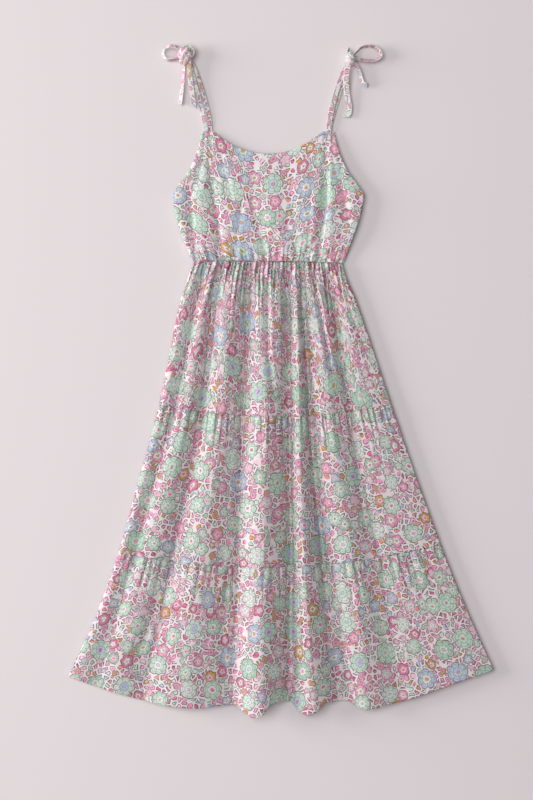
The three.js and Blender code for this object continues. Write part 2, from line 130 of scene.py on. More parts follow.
# %% [markdown]
# ## The print
#
# The cloth is white with a dense all-over print of small flowers in pinks, mints, blue grey and ochre, with
# fine dark outlines. It is drawn by nodes: Voronoi cells scatter a motif in each cell, and polar
# coordinates round the cell's own centre give it petals. Large blossoms lie over medium ones, and florets
# and pebbles fill the white between them. A painted image would have a fixed sharpness and repeat; nodes
# stay sharp close up. All of it reads a UV map in metres of flat cloth, so the print bends with the folds.

# %% Helpers that add nodes
def add_node(tree, kind, inputs=None, **settings):
    """Adds a node, sets its options and links or sets its inputs by name or number."""
    made = tree.nodes.new(kind)
    for name, value in settings.items():
        setattr(made, name, value)
    for name, value in (inputs or {}).items():
        if isinstance(value, bpy.types.NodeSocket):
            tree.links.new(value, made.inputs[name])
        else:
            made.inputs[name].default_value = value
    return made


def calc(tree, operation, *values):
    """One Math node; returns its value."""
    return add_node(tree, "ShaderNodeMath", dict(enumerate(values)), operation=operation).outputs[0]


def vector_calc(tree, operation, first, second):
    """One Vector Math node; returns its vector."""
    return add_node(tree, "ShaderNodeVectorMath", {0: first, 1: second}, operation=operation).outputs[0]


# %% Helpers that mix and choose colours
def mix_colour(tree, share, under, over, blend="MIX"):
    """Over laid on under by a share from 0 to 1; returns the colour."""
    made = add_node(tree, "ShaderNodeMix", {0: share, 6: under, 7: over},
                    data_type="RGBA", clamp_factor=True, blend_type=blend)
    return made.outputs[2]


def tint(tree, mask, strength, under, over):
    """Over laid on under where a mask is 1, with a given strength."""
    return mix_colour(tree, calc(tree, "MULTIPLY", mask, strength), under, over)


def between(tree, value, low, high):
    """0 below low, 1 above high and a smooth step between; low above high turns it round."""
    made = add_node(tree, "ShaderNodeMapRange", {"Value": value, "From Min": low, "From Max": high},
                    interpolation_type="SMOOTHSTEP")
    return made.outputs[0]


def choose(tree, pick, colours):
    """One of several colours by a random pick; each row is (share where it starts, colour)."""
    made = add_node(tree, "ShaderNodeValToRGB", {"Fac": pick})
    ramp = made.color_ramp
    ramp.interpolation = "CONSTANT"
    while len(ramp.elements) < len(colours):
        ramp.elements.new(0.5)
    for element, (start, colour) in zip(ramp.elements, colours):
        element.position = start
        element.color = colour
    return made.outputs[0]


# %% Helpers for node groups
def new_group(name, inputs, outputs):
    """An empty shader node group with named sockets; returns the tree, its inputs and its outputs."""
    tree = bpy.data.node_groups.new(name, "ShaderNodeTree")
    for label, kind in inputs:
        tree.interface.new_socket(label, in_out="INPUT", socket_type=kind)
    for label, kind in outputs:
        tree.interface.new_socket(label, in_out="OUTPUT", socket_type=kind)
    return tree, tree.nodes.new("NodeGroupInput").outputs, tree.nodes.new("NodeGroupOutput").inputs


def give_out(tree, out, values):
    """Links values to the outputs of a group by name."""
    for label, value in values.items():
        tree.links.new(value, out[label])


def voronoi(tree, place, cell, spread, feature="F1"):
    """Flat Voronoi cells of a given size; returns the node's outputs."""
    made = add_node(tree, "ShaderNodeTexVoronoi",
                    {"Vector": place, "Scale": calc(tree, "DIVIDE", 1.0, cell), "Randomness": spread},
                    voronoi_dimensions="2D", feature=feature)
    return made.outputs


# %% Scattered motif: where a point lies in the nearest motif
LEAST_SIZE, SIZE_SPREAD = 0.8, 0.4  # sizes of motifs, as shares of Radius: the least and what is added
PETAL_POWER = 0.55  # below 1, so petals are broad and the notches between them narrow
VECTOR, FLOAT, COLOUR = "NodeSocketVector", "NodeSocketFloat", "NodeSocketColor"
scatter, given, out = new_group(
    "scattered_motif",
    [("Cloth", VECTOR), ("Shift", VECTOR), ("Cell", FLOAT), ("Radius", FLOAT), ("Spread", FLOAT),
     ("Petals", FLOAT), ("Notch", FLOAT), ("Slim", FLOAT)],
    [("Rim", FLOAT), ("Reach", FLOAT), ("Lobe", FLOAT), ("Size", FLOAT), ("Home", VECTOR),
     ("Pick", FLOAT), ("Pick 2", FLOAT)])
place = vector_calc(scatter, "ADD", given["Cloth"], given["Shift"])
cells = voronoi(scatter, place, given["Cell"], given["Spread"])
picks = add_node(scatter, "ShaderNodeSeparateColor", {0: cells["Color"]}).outputs
offset = vector_calc(scatter, "SUBTRACT", place, cells["Position"])
turned = add_node(scatter, "ShaderNodeVectorRotate",
                  {"Vector": offset, "Angle": calc(scatter, "MULTIPLY", picks[1], 2 * math.pi)},
                  rotation_type="Z_AXIS").outputs[0]
axes = add_node(scatter, "ShaderNodeSeparateXYZ", {0: turned}).outputs
across = calc(scatter, "MULTIPLY", axes[1], given["Slim"])
away = calc(scatter, "SQRT", calc(scatter, "ADD", calc(scatter, "MULTIPLY", axes[0], axes[0]),
                                  calc(scatter, "MULTIPLY", across, across)))
growth = calc(scatter, "MULTIPLY_ADD", picks[2], SIZE_SPREAD, LEAST_SIZE)
size = calc(scatter, "MULTIPLY", given["Radius"], growth)
angle = calc(scatter, "ARCTAN2", across, axes[0])
swing = calc(scatter, "MULTIPLY", angle, calc(scatter, "MULTIPLY", given["Petals"], 0.5))
lobe = calc(scatter, "ABSOLUTE", calc(scatter, "COSINE", swing))
bite = calc(scatter, "SUBTRACT", 1.0, calc(scatter, "POWER", lobe, PETAL_POWER))
bite = calc(scatter, "MULTIPLY", given["Notch"], bite)
edge = calc(scatter, "MULTIPLY", size, calc(scatter, "SUBTRACT", 1.0, bite))
give_out(scatter, out, {
    "Rim": calc(scatter, "DIVIDE", away, edge), "Reach": calc(scatter, "DIVIDE", away, size), "Lobe": lobe,
    "Size": size, "Home": vector_calc(scatter, "SUBTRACT", cells["Position"], given["Shift"]),
    "Pick": picks[0], "Pick 2": picks[2]})
print("motif nodes:", len(scatter.nodes))

# %% Pebbles: a close filling of small petals and leaves
pebbles, given, out = new_group(
    "pebble_filling", [("Cloth", VECTOR), ("Cell", FLOAT), ("Spread", FLOAT)],
    [("Edge", FLOAT), ("Reach", FLOAT), ("Pick", FLOAT), ("Pick 2", FLOAT)])
cells = voronoi(pebbles, given["Cloth"], given["Cell"], given["Spread"])
edges = voronoi(pebbles, given["Cloth"], given["Cell"], given["Spread"], "DISTANCE_TO_EDGE")
picks = add_node(pebbles, "ShaderNodeSeparateColor", {0: cells["Color"]}).outputs
give_out(pebbles, out, {"Edge": calc(pebbles, "MULTIPLY", edges["Distance"], given["Cell"]),
                        "Reach": cells["Distance"], "Pick": picks[0], "Pick 2": picks[1]})
print("pebble nodes:", len(pebbles.nodes))

# %% Colours and sizes of the motifs
WHITE = screen(233, 226, 227)
LINE = screen(90, 70, 80)
MINT, PALE_MINT, SAGE = screen(203, 226, 209), screen(224, 234, 225), screen(186, 211, 193)
PINK, LIGHT_PINK, ROSE = screen(247, 162, 197), screen(248, 200, 219), screen(227, 121, 160)
CORAL, OCHRE, BLUE = screen(235, 160, 145), screen(218, 162, 94), screen(194, 204, 226)
# SHADE is the colour of painted shade, laid over the skirt's copy of the cloth
SHADE = screen(150, 134, 140)
MOTIFS = {
    "large": dict(Cell=0.049, Radius=0.0148, Spread=0.66, Petals=7, Notch=0.24, Slim=1.0,
                  Shift=(0.013, 0.021, 0)),
    "medium": dict(Cell=0.032, Radius=0.0094, Spread=0.8, Petals=5, Notch=0.24, Slim=1.0,
                   Shift=(0.131, 0.047, 0)),
    "floret": dict(Cell=0.0178, Radius=0.0056, Spread=0.85, Petals=4, Notch=0.3, Slim=1.25,
                   Shift=(0.217, 0.311, 0)),
}
CLEARANCE = 0.3  # how far at least a motif's middle lies outside a large one, as a share of its own size
INK = dict(outline=0.9, join=0.7, vein=0.45, ring=0.6, heart=0.5, pebble_heart=0.45)  # how dark each line is
PETAL_SHADE = 0.3
print("motifs:", ", ".join(MOTIFS))


# %% Lay one layer of motifs on another
def motif(tree, which, cloth):
    """One layer of motifs read at a place on the cloth."""
    return add_node(tree, "ShaderNodeGroup", {"Cloth": cloth, **MOTIFS[which]}, node_tree=scatter).outputs


def clear_of(tree, small, large):
    """1 where a small motif's middle is clear of the large motif that was read there, otherwise 0."""
    gap = calc(tree, "MULTIPLY", calc(tree, "SUBTRACT", large["Reach"], 1.0), large["Size"])
    return calc(tree, "GREATER_THAN", gap, calc(tree, "MULTIPLY", small["Size"], CLEARANCE))


def lay_motif(tree, under, parts, alive, fill, line_width, halo):
    """Lays one layer on the colour under it: a white gap round each motif, its fill and a fine outline."""
    outer = calc(tree, "ADD", 1.0, calc(tree, "DIVIDE", halo, parts["Size"]))
    inner = calc(tree, "SUBTRACT", 1.0, calc(tree, "DIVIDE", line_width, parts["Size"]))
    gap = calc(tree, "MULTIPLY", alive, between(tree, parts["Rim"], outer, 1.0))
    inside = calc(tree, "MULTIPLY", alive, between(tree, parts["Rim"], 1.03, 0.99))
    outline = calc(tree, "MULTIPLY", inside, between(tree, parts["Rim"], inner, 1.0))
    colour = mix_colour(tree, gap, under, WHITE)
    colour = mix_colour(tree, inside, colour, fill)
    return tint(tree, outline, INK["outline"], colour, LINE)


def petal_fill(tree, parts, petals, ring, heart, ring_reach, heart_reach):
    """Petals with darker joins, a ring and a heart, each in a colour picked at random."""
    colour = choose(tree, parts["Pick"], petals)
    colour = tint(tree, between(tree, parts["Lobe"], 0.24, 0.06), INK["join"], colour, LINE)
    vein = calc(tree, "MULTIPLY", between(tree, parts["Rim"], 0.68, 0.73),
                between(tree, parts["Rim"], 0.8, 0.75))
    colour = tint(tree, vein, INK["vein"], colour, LINE)
    colour = tint(tree, between(tree, parts["Reach"], 0.9, 0.4), PETAL_SHADE, colour, SAGE)
    lobed_reach = calc(tree, "SUBTRACT", parts["Reach"], calc(tree, "MULTIPLY", parts["Lobe"], 0.12))
    for reach, limit, line, pick, colours, blur in (
            (lobed_reach, ring_reach, INK["ring"], "Pick 2", ring, 0.02),
            (parts["Reach"], heart_reach, INK["heart"], "Pick", heart, 0.03)):
        colour = tint(tree, between(tree, reach, limit + 0.08, limit + 0.02), line, colour, LINE)
        inside = between(tree, reach, limit + 0.02, limit - blur)
        colour = mix_colour(tree, inside, colour, choose(tree, parts[pick], colours))
    return colour


# %% Print group: where the motifs of each layer lie
WOBBLE = 0.004
flowers, given, out = new_group("flower_print", [("Cloth", VECTOR)], [("Color", COLOUR)])
wobble = add_node(flowers, "ShaderNodeTexNoise", {"Vector": given["Cloth"], "Scale": 120, "Detail": 1},
                  noise_dimensions="2D").outputs["Color"]
wobble = vector_calc(flowers, "SUBTRACT", wobble, (0.5, 0.5, 0.5))
wobble = vector_calc(flowers, "MULTIPLY", wobble, (WOBBLE, WOBBLE, 0))
cloth = vector_calc(flowers, "ADD", given["Cloth"], wobble)
large, medium, floret = (motif(flowers, which, cloth) for which in MOTIFS)
medium_alive = clear_of(flowers, medium, motif(flowers, "large", medium["Home"]))
floret_alive = clear_of(flowers, floret, motif(flowers, "large", floret["Home"]))

# %% Print group: the pebbles
PEBBLE_CELL = 0.0088
PEBBLE_SPREAD = 0.9
PEBBLE_GAP = 0.0011
PEBBLE_REACH = 0.56
pebble = add_node(flowers, "ShaderNodeGroup",
                  {"Cloth": cloth, "Cell": PEBBLE_CELL, "Spread": PEBBLE_SPREAD}, node_tree=pebbles).outputs
pebble_fill = choose(flowers, pebble["Pick"], [
    (0, PINK), (0.29, LIGHT_PINK), (0.45, ROSE), (0.54, MINT), (0.7, SAGE), (0.75, CORAL), (0.83, OCHRE),
    (0.89, BLUE), (0.95, WHITE)])
pebble_heart = calc(flowers, "MULTIPLY", between(flowers, pebble["Reach"], 0.2, 0.1),
                    calc(flowers, "GREATER_THAN", pebble["Pick 2"], 0.55))
pebble_fill = tint(flowers, pebble_heart, INK["pebble_heart"], pebble_fill, LINE)
pebble_line = between(flowers, pebble["Edge"], PEBBLE_GAP + 0.0014, PEBBLE_GAP + 0.0009)
pebble_fill = tint(flowers, pebble_line, INK["outline"], pebble_fill, LINE)
pebble_in = calc(flowers, "MULTIPLY", between(flowers, pebble["Edge"], PEBBLE_GAP, PEBBLE_GAP + 0.0002),
                 between(flowers, pebble["Reach"], PEBBLE_REACH, PEBBLE_REACH - 0.05))
colour = mix_colour(flowers, pebble_in, WHITE, pebble_fill)

# %% Print group: florets, medium and large blossoms over the pebbles
floret_fill = petal_fill(
    flowers, floret,
    [(0, LIGHT_PINK), (0.26, PINK), (0.52, MINT), (0.68, CORAL), (0.78, OCHRE), (0.88, BLUE)],
    [(0, WHITE), (0.5, ROSE)], [(0, ROSE), (0.5, WHITE), (0.75, OCHRE)], ring_reach=0.24, heart_reach=0.14)
medium_fill = petal_fill(
    flowers, medium,
    [(0, PINK), (0.26, MINT), (0.4, ROSE), (0.56, LIGHT_PINK), (0.72, BLUE), (0.84, SAGE), (0.92, OCHRE)],
    [(0, WHITE), (0.4, LIGHT_PINK), (0.7, PALE_MINT)],
    [(0, OCHRE), (0.24, ROSE), (0.5, BLUE), (0.75, ROSE)], ring_reach=0.34, heart_reach=0.15)
large_fill = petal_fill(
    flowers, large,
    [(0, MINT), (0.36, PALE_MINT), (0.58, SAGE), (0.68, MINT), (0.9, BLUE)],
    [(0, PALE_MINT), (0.35, WHITE), (0.65, BLUE), (0.82, MINT)],
    [(0, ROSE), (0.3, BLUE), (0.6, PINK), (0.8, OCHRE)], ring_reach=0.32, heart_reach=0.13)
colour = lay_motif(flowers, colour, floret, floret_alive, floret_fill, line_width=0.0019, halo=0.001)
colour = lay_motif(flowers, colour, medium, medium_alive, medium_fill, line_width=0.0022, halo=0.0012)
colour = lay_motif(flowers, colour, large, 1.0, large_fill, line_width=0.0024, halo=0.0014)
give_out(flowers, out, {"Color": colour})
print("print nodes:", len(flowers.nodes))

# %% [markdown]
# ## Cotton
#
# Light plain-woven cotton is matt with a very slight sheen. The weave is far finer than a pixel here, but
# it softens the light up close, so a bump of warp and weft threads and a few soft crumples go into the
# normal. It is one group that four cloths share. The skirt's copy carries painted shade: it is darkened a
# little all over, so the skirt lies darker than the bodice. The straps are folded strips with a paler print.
# The wrong side is paler still, where ink has not come through.

# %% Weave group: threads over soft crumples
THREAD = 0.00062
THREAD_WEIGHT, CRUMPLE_WEIGHT = 0.25, 6.0
weave, given, out = new_group("cotton_weave", [("Cloth", VECTOR)], [("Height", FLOAT)])
axes = add_node(weave, "ShaderNodeSeparateXYZ", {0: given["Cloth"]}).outputs
warp, weft = (calc(weave, "SINE", calc(weave, "MULTIPLY", axis, 2 * math.pi / THREAD)) for axis in axes[:2])
threads = calc(weave, "MULTIPLY", calc(weave, "MULTIPLY", warp, weft), THREAD_WEIGHT)
crumples = add_node(weave, "ShaderNodeTexNoise",
                    {"Vector": given["Cloth"], "Scale": 45, "Detail": 3, "Roughness": 0.55},
                    noise_dimensions="2D").outputs[0]
give_out(weave, out, {"Height": calc(weave, "MULTIPLY_ADD", crumples, CRUMPLE_WEIGHT, threads)})
print("weave nodes:", len(weave.nodes))

# %% Cotton materials
BUMP = {"Strength": 0.35, "Distance": 0.0002}
COTTON = {"Roughness": 0.88, "Specular IOR Level": 0.22, "Sheen Weight": 0.12, "Sheen Roughness": 0.5}


def printed_cotton(name, faded=0.0, painted_shade=0.0):
    """Printed cotton; faded says how far the print is lost, and the next argument how far painted shade
    darkens the cloth all over.
    """
    material = bpy.data.materials.new(name)
    material.use_nodes = True
    tree = material.node_tree
    shader = tree.nodes["Principled BSDF"]
    uv = add_node(tree, "ShaderNodeUVMap", uv_map="cloth").outputs[0]
    colour = add_node(tree, "ShaderNodeGroup", {"Cloth": uv}, node_tree=flowers).outputs["Color"]
    if faded:
        colour = mix_colour(tree, faded, colour, WHITE)
    # painted shade: the whole cloth is darkened towards SHADE
    if painted_shade:
        colour = mix_colour(tree, painted_shade, colour, SHADE, "MULTIPLY")
    tree.links.new(colour, shader.inputs["Base Color"])
    height = add_node(tree, "ShaderNodeGroup", {"Cloth": uv}, node_tree=weave).outputs["Height"]
    bump = add_node(tree, "ShaderNodeBump", {"Height": height, **BUMP})
    tree.links.new(bump.outputs[0], shader.inputs["Normal"])
    for label, value in COTTON.items():
        shader.inputs[label].default_value = value
    return material


RIGHT_SIDES = {
    "bodice_cloth": printed_cotton("printed_cotton"),
    # the skirt's copy carries painted shade, darker all over than the bodice
    "skirt_cloth": printed_cotton("printed_cotton_painted_shade", painted_shade=0.17),
    "strap_cloth": printed_cotton("printed_cotton_strap", faded=0.22),
}
WRONG_SIDE = printed_cotton("printed_cotton_wrong_side", faded=0.45)
print("cloths:", len(RIGHT_SIDES) + 1)

# %% [markdown]
# ## Cutting and laying a panel
#
# Every panel starts as a flat grid of cloth, and its vertices are moved to where the cloth lies: across the
# outline of the panel, up over its folds and into its gathers. A cloth simulation could drop the panels
# instead, but it would not put each fold where it lies on this dress. The length of cloth between
# neighbouring vertices gives the UV map, so that the print is cut from flat cloth and hardly stretches. A
# Solidify modifier gives the shell its thickness.

# %% Curves through tables
def through(stations, values, at):
    """Smooth curve through values at rising stations, read at an array of places."""
    stations, values = np.asarray(stations, float), np.asarray(values, float)
    slopes = np.concatenate((
        [(values[1] - values[0]) / (stations[1] - stations[0])],
        (values[2:] - values[:-2]) / (stations[2:] - stations[:-2]),
        [(values[-1] - values[-2]) / (stations[-1] - stations[-2])]))
    i = np.clip(np.searchsorted(stations, at, side="right") - 1, 0, len(stations) - 2)
    span = stations[i + 1] - stations[i]
    t = (at - stations[i]) / span
    step = (values[i + 1] - values[i]) * t * t * (3 - 2 * t)
    return values[i] + step + t * (1 - t) ** 2 * span * slopes[i] + t * t * (t - 1) * span * slopes[i + 1]


def read(table, at):
    """Smooth curve through a table of (station, value) rows, read at an array of places."""
    return through(*zip(*table), at)


def ease(value, low, high):
    """0 at low, 1 at high and a smooth step between."""
    t = np.clip((value - low) / (high - low), 0, 1)
    return t * t * (3 - 2 * t)


def from_side(share):
    """Share of the width between a place and the nearer side edge."""
    return np.minimum(share, 1 - share)


# %% [markdown]
# ## Folds, creases and gathers
#
# Cloth under a gathered seam has forms of several sizes. Large folds run the length of the skirt, gathers
# and puckers start at a seam and die out, and creases lie across all of them. A displacement texture could
# raise the cloth too, but it could not place each fold, so each is a height worked out from where a point
# lies. Washed cotton is never quite even, so a little noise goes on top.

# %% Main folds
FOLD_POWER = 1.35  # above 1, so a fold falls ever more steeply towards its foot


def arches(folds, levels, share, level, last_floor):
    """Height of the main folds: each climbs from its valley line to a crest and falls to its foot."""
    lines = [through(levels, fold["valley"], level) for fold in folds] + [np.ones_like(share)]
    floors = [through(levels, fold["floor"], level) for fold in folds] + [through(levels, last_floor, level)]
    rise = np.zeros_like(share)
    for k, fold in enumerate(folds):
        left, right = lines[k], lines[k + 1]
        within = (share >= left) & ((share < right) | (k == len(folds) - 1))
        crest = left + (right - left) * through(levels, fold["crest"], level)
        foot = left + (right - left) * through(levels, fold.get("foot", [1] * len(levels)), level)
        climb = np.clip((crest - share) / (crest - left), 0, 1)
        fall = np.clip((share - crest) / (foot - crest), 0, 1)
        arch = 1 - climb ** 2 - fall ** FOLD_POWER
        floor = floors[k] + (floors[k + 1] - floors[k]) * (share - left) / (right - left)
        rise += within * (floor + arch * (through(levels, fold["height"], level) - floor))
    return rise


# %% Creases
CREASE_POWER = 1.35  # above 1, so a crease is sharp in its middle and soft at its sides


def creases(table, x, y):
    """Depth of creases placed one by one, each (width to its left, width to its right, path)."""
    depth = np.zeros_like(x)
    for left, right, path in table:
        path = np.array(path, float)[::-1]
        middle = np.interp(y, path[:, 1], path[:, 0])
        deep = np.interp(y, path[:, 1], path[:, 2], left=0, right=0)
        away = np.where(x < middle, (middle - x) / left, (x - middle) / right)
        depth += deep * np.clip(1 - away, 0, 1) ** CREASE_POWER
    return depth


# %% Gathers
GATHER_HEIGHTS = (0.15, 1.4)  # least and greatest height, as shares of the height asked for
GATHER_LENGTHS = (0.3, 1.5)  # least and greatest length, as shares of the length asked for
GATHER_FADE = 1.4  # above 1, so a gather sinks fast at first and then runs out slowly
GATHER_PINCH = 0.3  # share of its height that a gather lacks right at the seam
GATHER_SLIT = 0.12  # slit on each side of a gather, as a share of the gather without its slits
GATHER_SINK = 0.3  # share of a gather's height by which its slits lie below the plain cloth
UNEVENNESS = 0.36  # how far a slit is moved to either side, as a share of the space between slits


def gathers(share, distance, edges, height, length, seed):
    """Small arches under a gathered seam, each with its own height and reach, and slits between them."""
    random = np.random.default_rng(seed)
    count = len(edges) - 1
    tall = random.uniform(*GATHER_HEIGHTS, count)
    far = length * random.uniform(*GATHER_LENGTHS, count)
    i = np.clip(np.searchsorted(edges, share, side="right") - 1, 0, count - 1)
    t = (share - edges[i]) / (edges[i + 1] - edges[i])
    t = np.clip(t * (1 + 2 * GATHER_SLIT) - GATHER_SLIT, 0, 1)
    fade = np.clip(1 - distance / far[i], 0, 1) ** GATHER_FADE
    pinch = 1 - GATHER_PINCH + GATHER_PINCH * ease(distance, -2, 9)
    return height * tall[i] * pinch * fade * ((4 * t * (1 - t)) ** 0.5 - GATHER_SINK)


def uneven_edges(count, seed):
    """Where one gather ends and the next begins, as shares of the width."""
    edges = np.arange(count + 1.0)
    edges[1:-1] += np.random.default_rng(seed).uniform(-UNEVENNESS, UNEVENNESS, count - 1)
    return edges / count


# %% Rounded sides and crumples
CRUMPLE_STRETCH = 0.45  # below 1, so crumples are longer down the cloth than across it


def rounded_side(distance, radius):
    """0 at the side edge, 1 from one radius inwards, on a quarter circle."""
    t = np.clip(distance / radius, 0, 1)
    return np.sqrt(1 - (1 - t) ** 2)


def crumple(points, cell, seed):
    """Smooth noise between -1 and 1 at each point, for the small unevenness of washed cotton."""
    flat = points.reshape(-1, 3) / cell
    values = [noise.noise(Vector((p[0] + seed, p[1] * CRUMPLE_STRETCH, seed * 0.37))) for p in flat]
    return np.array(values).reshape(points.shape[:-1])


def crumpled(x, y, z, share, layers, seed, margin):
    """Points of a surface with layers of crumples, each (height, cell), that die out at the side edges."""
    points = np.stack((x, y, z), axis=-1)
    rise = sum(height * crumple(points, cell, seed + 5 * k) for k, (height, cell) in enumerate(layers))
    points[..., 2] += ease(from_side(share), 0, margin) * rise
    return points


# %% Puckers over the gathers
PUCKERS = dict(count=74, height=2.0, length=24)
LEAN = 0.45  # how far a gather leans over the slit on its right, for each millimetre of its height
LEAN_MARGIN = 0.04


def seam_gathers(share, distance, edges, height, length, seed, pucker_length):
    """The gathers under a seam, with shorter puckers over them."""
    pucker_edges = uneven_edges(PUCKERS["count"], seed + 3)
    made = gathers(share, distance, edges, height, length, seed)
    return made + gathers(share, distance, pucker_edges, PUCKERS["height"], pucker_length, seed + 3)


def lean_over(x, share, gathered):
    """Places across the panel once each gather leans to the right, but not at the side edges."""
    return x + LEAN * gathered * ease(from_side(share), 0, LEAN_MARGIN)


# %% Finish a piece
def finish_piece(bm, node, slot_name):
    """Turns a bmesh into the piece that stands for a CAD node."""
    mesh = bpy.data.meshes.new(node + "_cloth")
    bm.to_mesh(mesh)
    bm.free()
    mesh.polygons.foreach_set("use_smooth", [True] * len(mesh.polygons))
    piece = bpy.data.objects.new(node + "_cloth", mesh)
    bpy.context.collection.objects.link(piece)
    mesh.materials.append(RIGHT_SIDES[slot_name])
    mesh.materials.append(WRONG_SIDE)
    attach(piece, "root")
    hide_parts(node)
    return piece


# %% Rows and columns of a panel
EDGE_COLUMNS = np.array([0, 0.0003, 0.001])  # shares of the width where the side edge is rounded
FIRST_COLUMN = 0.0025
FINE_ROWS = 18
FINE_SHARE = 0.06  # share of a panel's length, next to its gathered seam, that the fine rows take


def grid_places(columns, rows, seam_below):
    """Shares across and down a panel for each point of its grid, with closer rows near the gathered seam."""
    inner = np.linspace(FIRST_COLUMN, 1 - FIRST_COLUMN, columns + 1 - 2 * len(EDGE_COLUMNS))
    shares = np.concatenate((EDGE_COLUMNS, inner, 1 - EDGE_COLUMNS[::-1]))
    coarse = np.linspace(FINE_SHARE, 1, rows + 2 - FINE_ROWS)
    downs = np.concatenate((np.linspace(0, FINE_SHARE, FINE_ROWS), coarse[1:]))
    return np.meshgrid(shares, 1 - downs[::-1] if seam_below else downs)


# %% Flat cloth of a panel
PRINT_CLIMB = 0.4  # share of a fold's climb that the print counts; the rest is out of sight in the gathers


def flat_cloth(points, share, tucks):
    """Place of each point on the flat cloth; what a narrow row has to spare is hidden at the tucks."""
    across = np.linalg.norm(np.diff(points * (1, 1, PRINT_CLIMB), axis=1), axis=2)
    laid = np.pad(np.cumsum(across, axis=1), ((0, 0), (1, 0)))
    widest = laid[:, -1].max()
    passed = np.searchsorted(tucks[1:-1], share[0]) / (len(tucks) - 2) if len(tucks) > 2 else 0.5
    u = laid + (widest - laid[:, -1:]) * passed - widest / 2
    down = np.linalg.norm(np.diff(points, axis=0), axis=2)
    return u, -np.pad(np.cumsum(down, axis=0), ((1, 0), (0, 0)))


# %% Lay a panel
SHELL = 0.9
sheets = []


def cloth_panel(node, slot_name, surface, columns, rows, cut_shift, tucks=(0, 1), shell=SHELL,
                seam_below=False):
    """Lays a grid of cloth on a surface(share, down) given in mm, with a UV map in metres of flat cloth."""
    share, down = grid_places(columns, rows, seam_below)
    points = surface(share, down)
    u, v = flat_cloth(points, share, tucks)
    bm = bmesh.new()
    bmesh.ops.create_grid(bm, x_segments=columns, y_segments=rows, size=0.5)
    uv_layer = bm.loops.layers.uv.new("cloth")
    spot = {}
    for vert in bm.verts:
        spot[vert] = round((0.5 - vert.co.y) * rows), round((vert.co.x + 0.5) * columns)
    for face in bm.faces:
        for loop in face.loops:
            place = spot[loop.vert]
            loop[uv_layer].uv = (u[place] * MM + cut_shift[0], v[place] * MM + cut_shift[1])
    for vert, place in spot.items():
        vert.co = points[place] * MM
    piece = finish_piece(bm, node, slot_name)
    wall = piece.modifiers.new("cloth_thickness", "SOLIDIFY")
    wall.thickness = shell * MM
    wall.offset = -1
    wall.material_offset = 1
    wall.material_offset_rim = 0
    row_lengths = np.linalg.norm(np.diff(points, axis=1), axis=2).sum(axis=1)
    column_lengths = np.linalg.norm(np.diff(points, axis=0), axis=2).sum(axis=0)
    width, length = row_lengths.max(), column_lengths.max()
    area = row_lengths.mean() * column_lengths.mean() * MM * MM
    print(node, "cut", round(width), "x", round(length), "mm, area", round(area, 4))
    sheets.append(dict(piece=piece, width=width * MM, length=length * MM, area=area))
    return piece


# %% [markdown]
# ## Skirt
#
# Each tier is a straight strip of cloth, gathered along its top edge and sewn to the tier above. The
# gathers are tight at the seam and open into long soft folds, the largest of which run from the waist to
# the hem and hang a little lower there. Sculpting by hand could give such folds, but a table keeps each one
# where it was placed and lets the next maker move it. The lines and folds of the skirt are the same tables,
# in millimetres, that the solids were made from. The gathers are taller here, and puckers, tucks, creases
# and the dip of the waist are added.

# %% Outline of the skirt, at places along it: 0 at the waist, 1 and 2 at the seams, 3 at the hem
SKIRT_LINES = [
    dict(along=0, left_x=-112, left_y=6, middle_y=6, right_x=112, right_y=6),
    dict(along=0.12, left_x=-121, left_y=-19, middle_y=-21, right_x=119, right_y=-19),
    dict(along=0.3, left_x=-133, left_y=-56, middle_y=-62, right_x=134, right_y=-56),
    dict(along=1, left_x=-164, left_y=-208, middle_y=-226, right_x=185, right_y=-208),
    dict(along=1.5, left_x=-194, left_y=-319, middle_y=-338, right_x=221, right_y=-313),
    dict(along=2, left_x=-225, left_y=-430, middle_y=-451, right_x=259, right_y=-418),
    dict(along=2.5, left_x=-259, left_y=-525, middle_y=-552, right_x=297, right_y=-513),
    dict(along=3, left_x=-300, left_y=-616, middle_y=-653, right_x=339, right_y=-607),
]
HEM_DROOP = [  # share of the width, millimetres below the plain curve of the hem
    (0, 0), (0.1, 7.5), (0.216, 14.5), (0.31, 13), (0.345, 9), (0.394, 6.5), (0.411, 13.5), (0.439, 22),
    (0.46, 14.5), (0.474, 2.5), (0.498, 0), (0.523, 1), (0.54, 12), (0.563, 19.5), (0.585, 13.5), (0.596, 5),
    (0.627, 3.5), (0.662, 6), (0.681, 14), (0.704, 19.5), (0.744, 17), (0.803, 14), (0.92, 2.5), (1, -1)]
WAIST_DIP = [  # share of the width, millimetres that the waist seam lies below its straight line
    (0, -0.7), (0.07, -1.8), (0.2, -1.8), (0.38, -1.2), (0.55, -0.5), (0.72, -0.4), (0.83, 0.8), (0.93, 1.6),
    (1, 2.5)]
DIP_BELOW, DIP_ABOVE = 0.25, 50  # where the dip ends: places along the skirt, millimetres up the bodice
print("hem", SKIRT_LINES[-1]["right_x"] - SKIRT_LINES[-1]["left_x"], "mm wide")

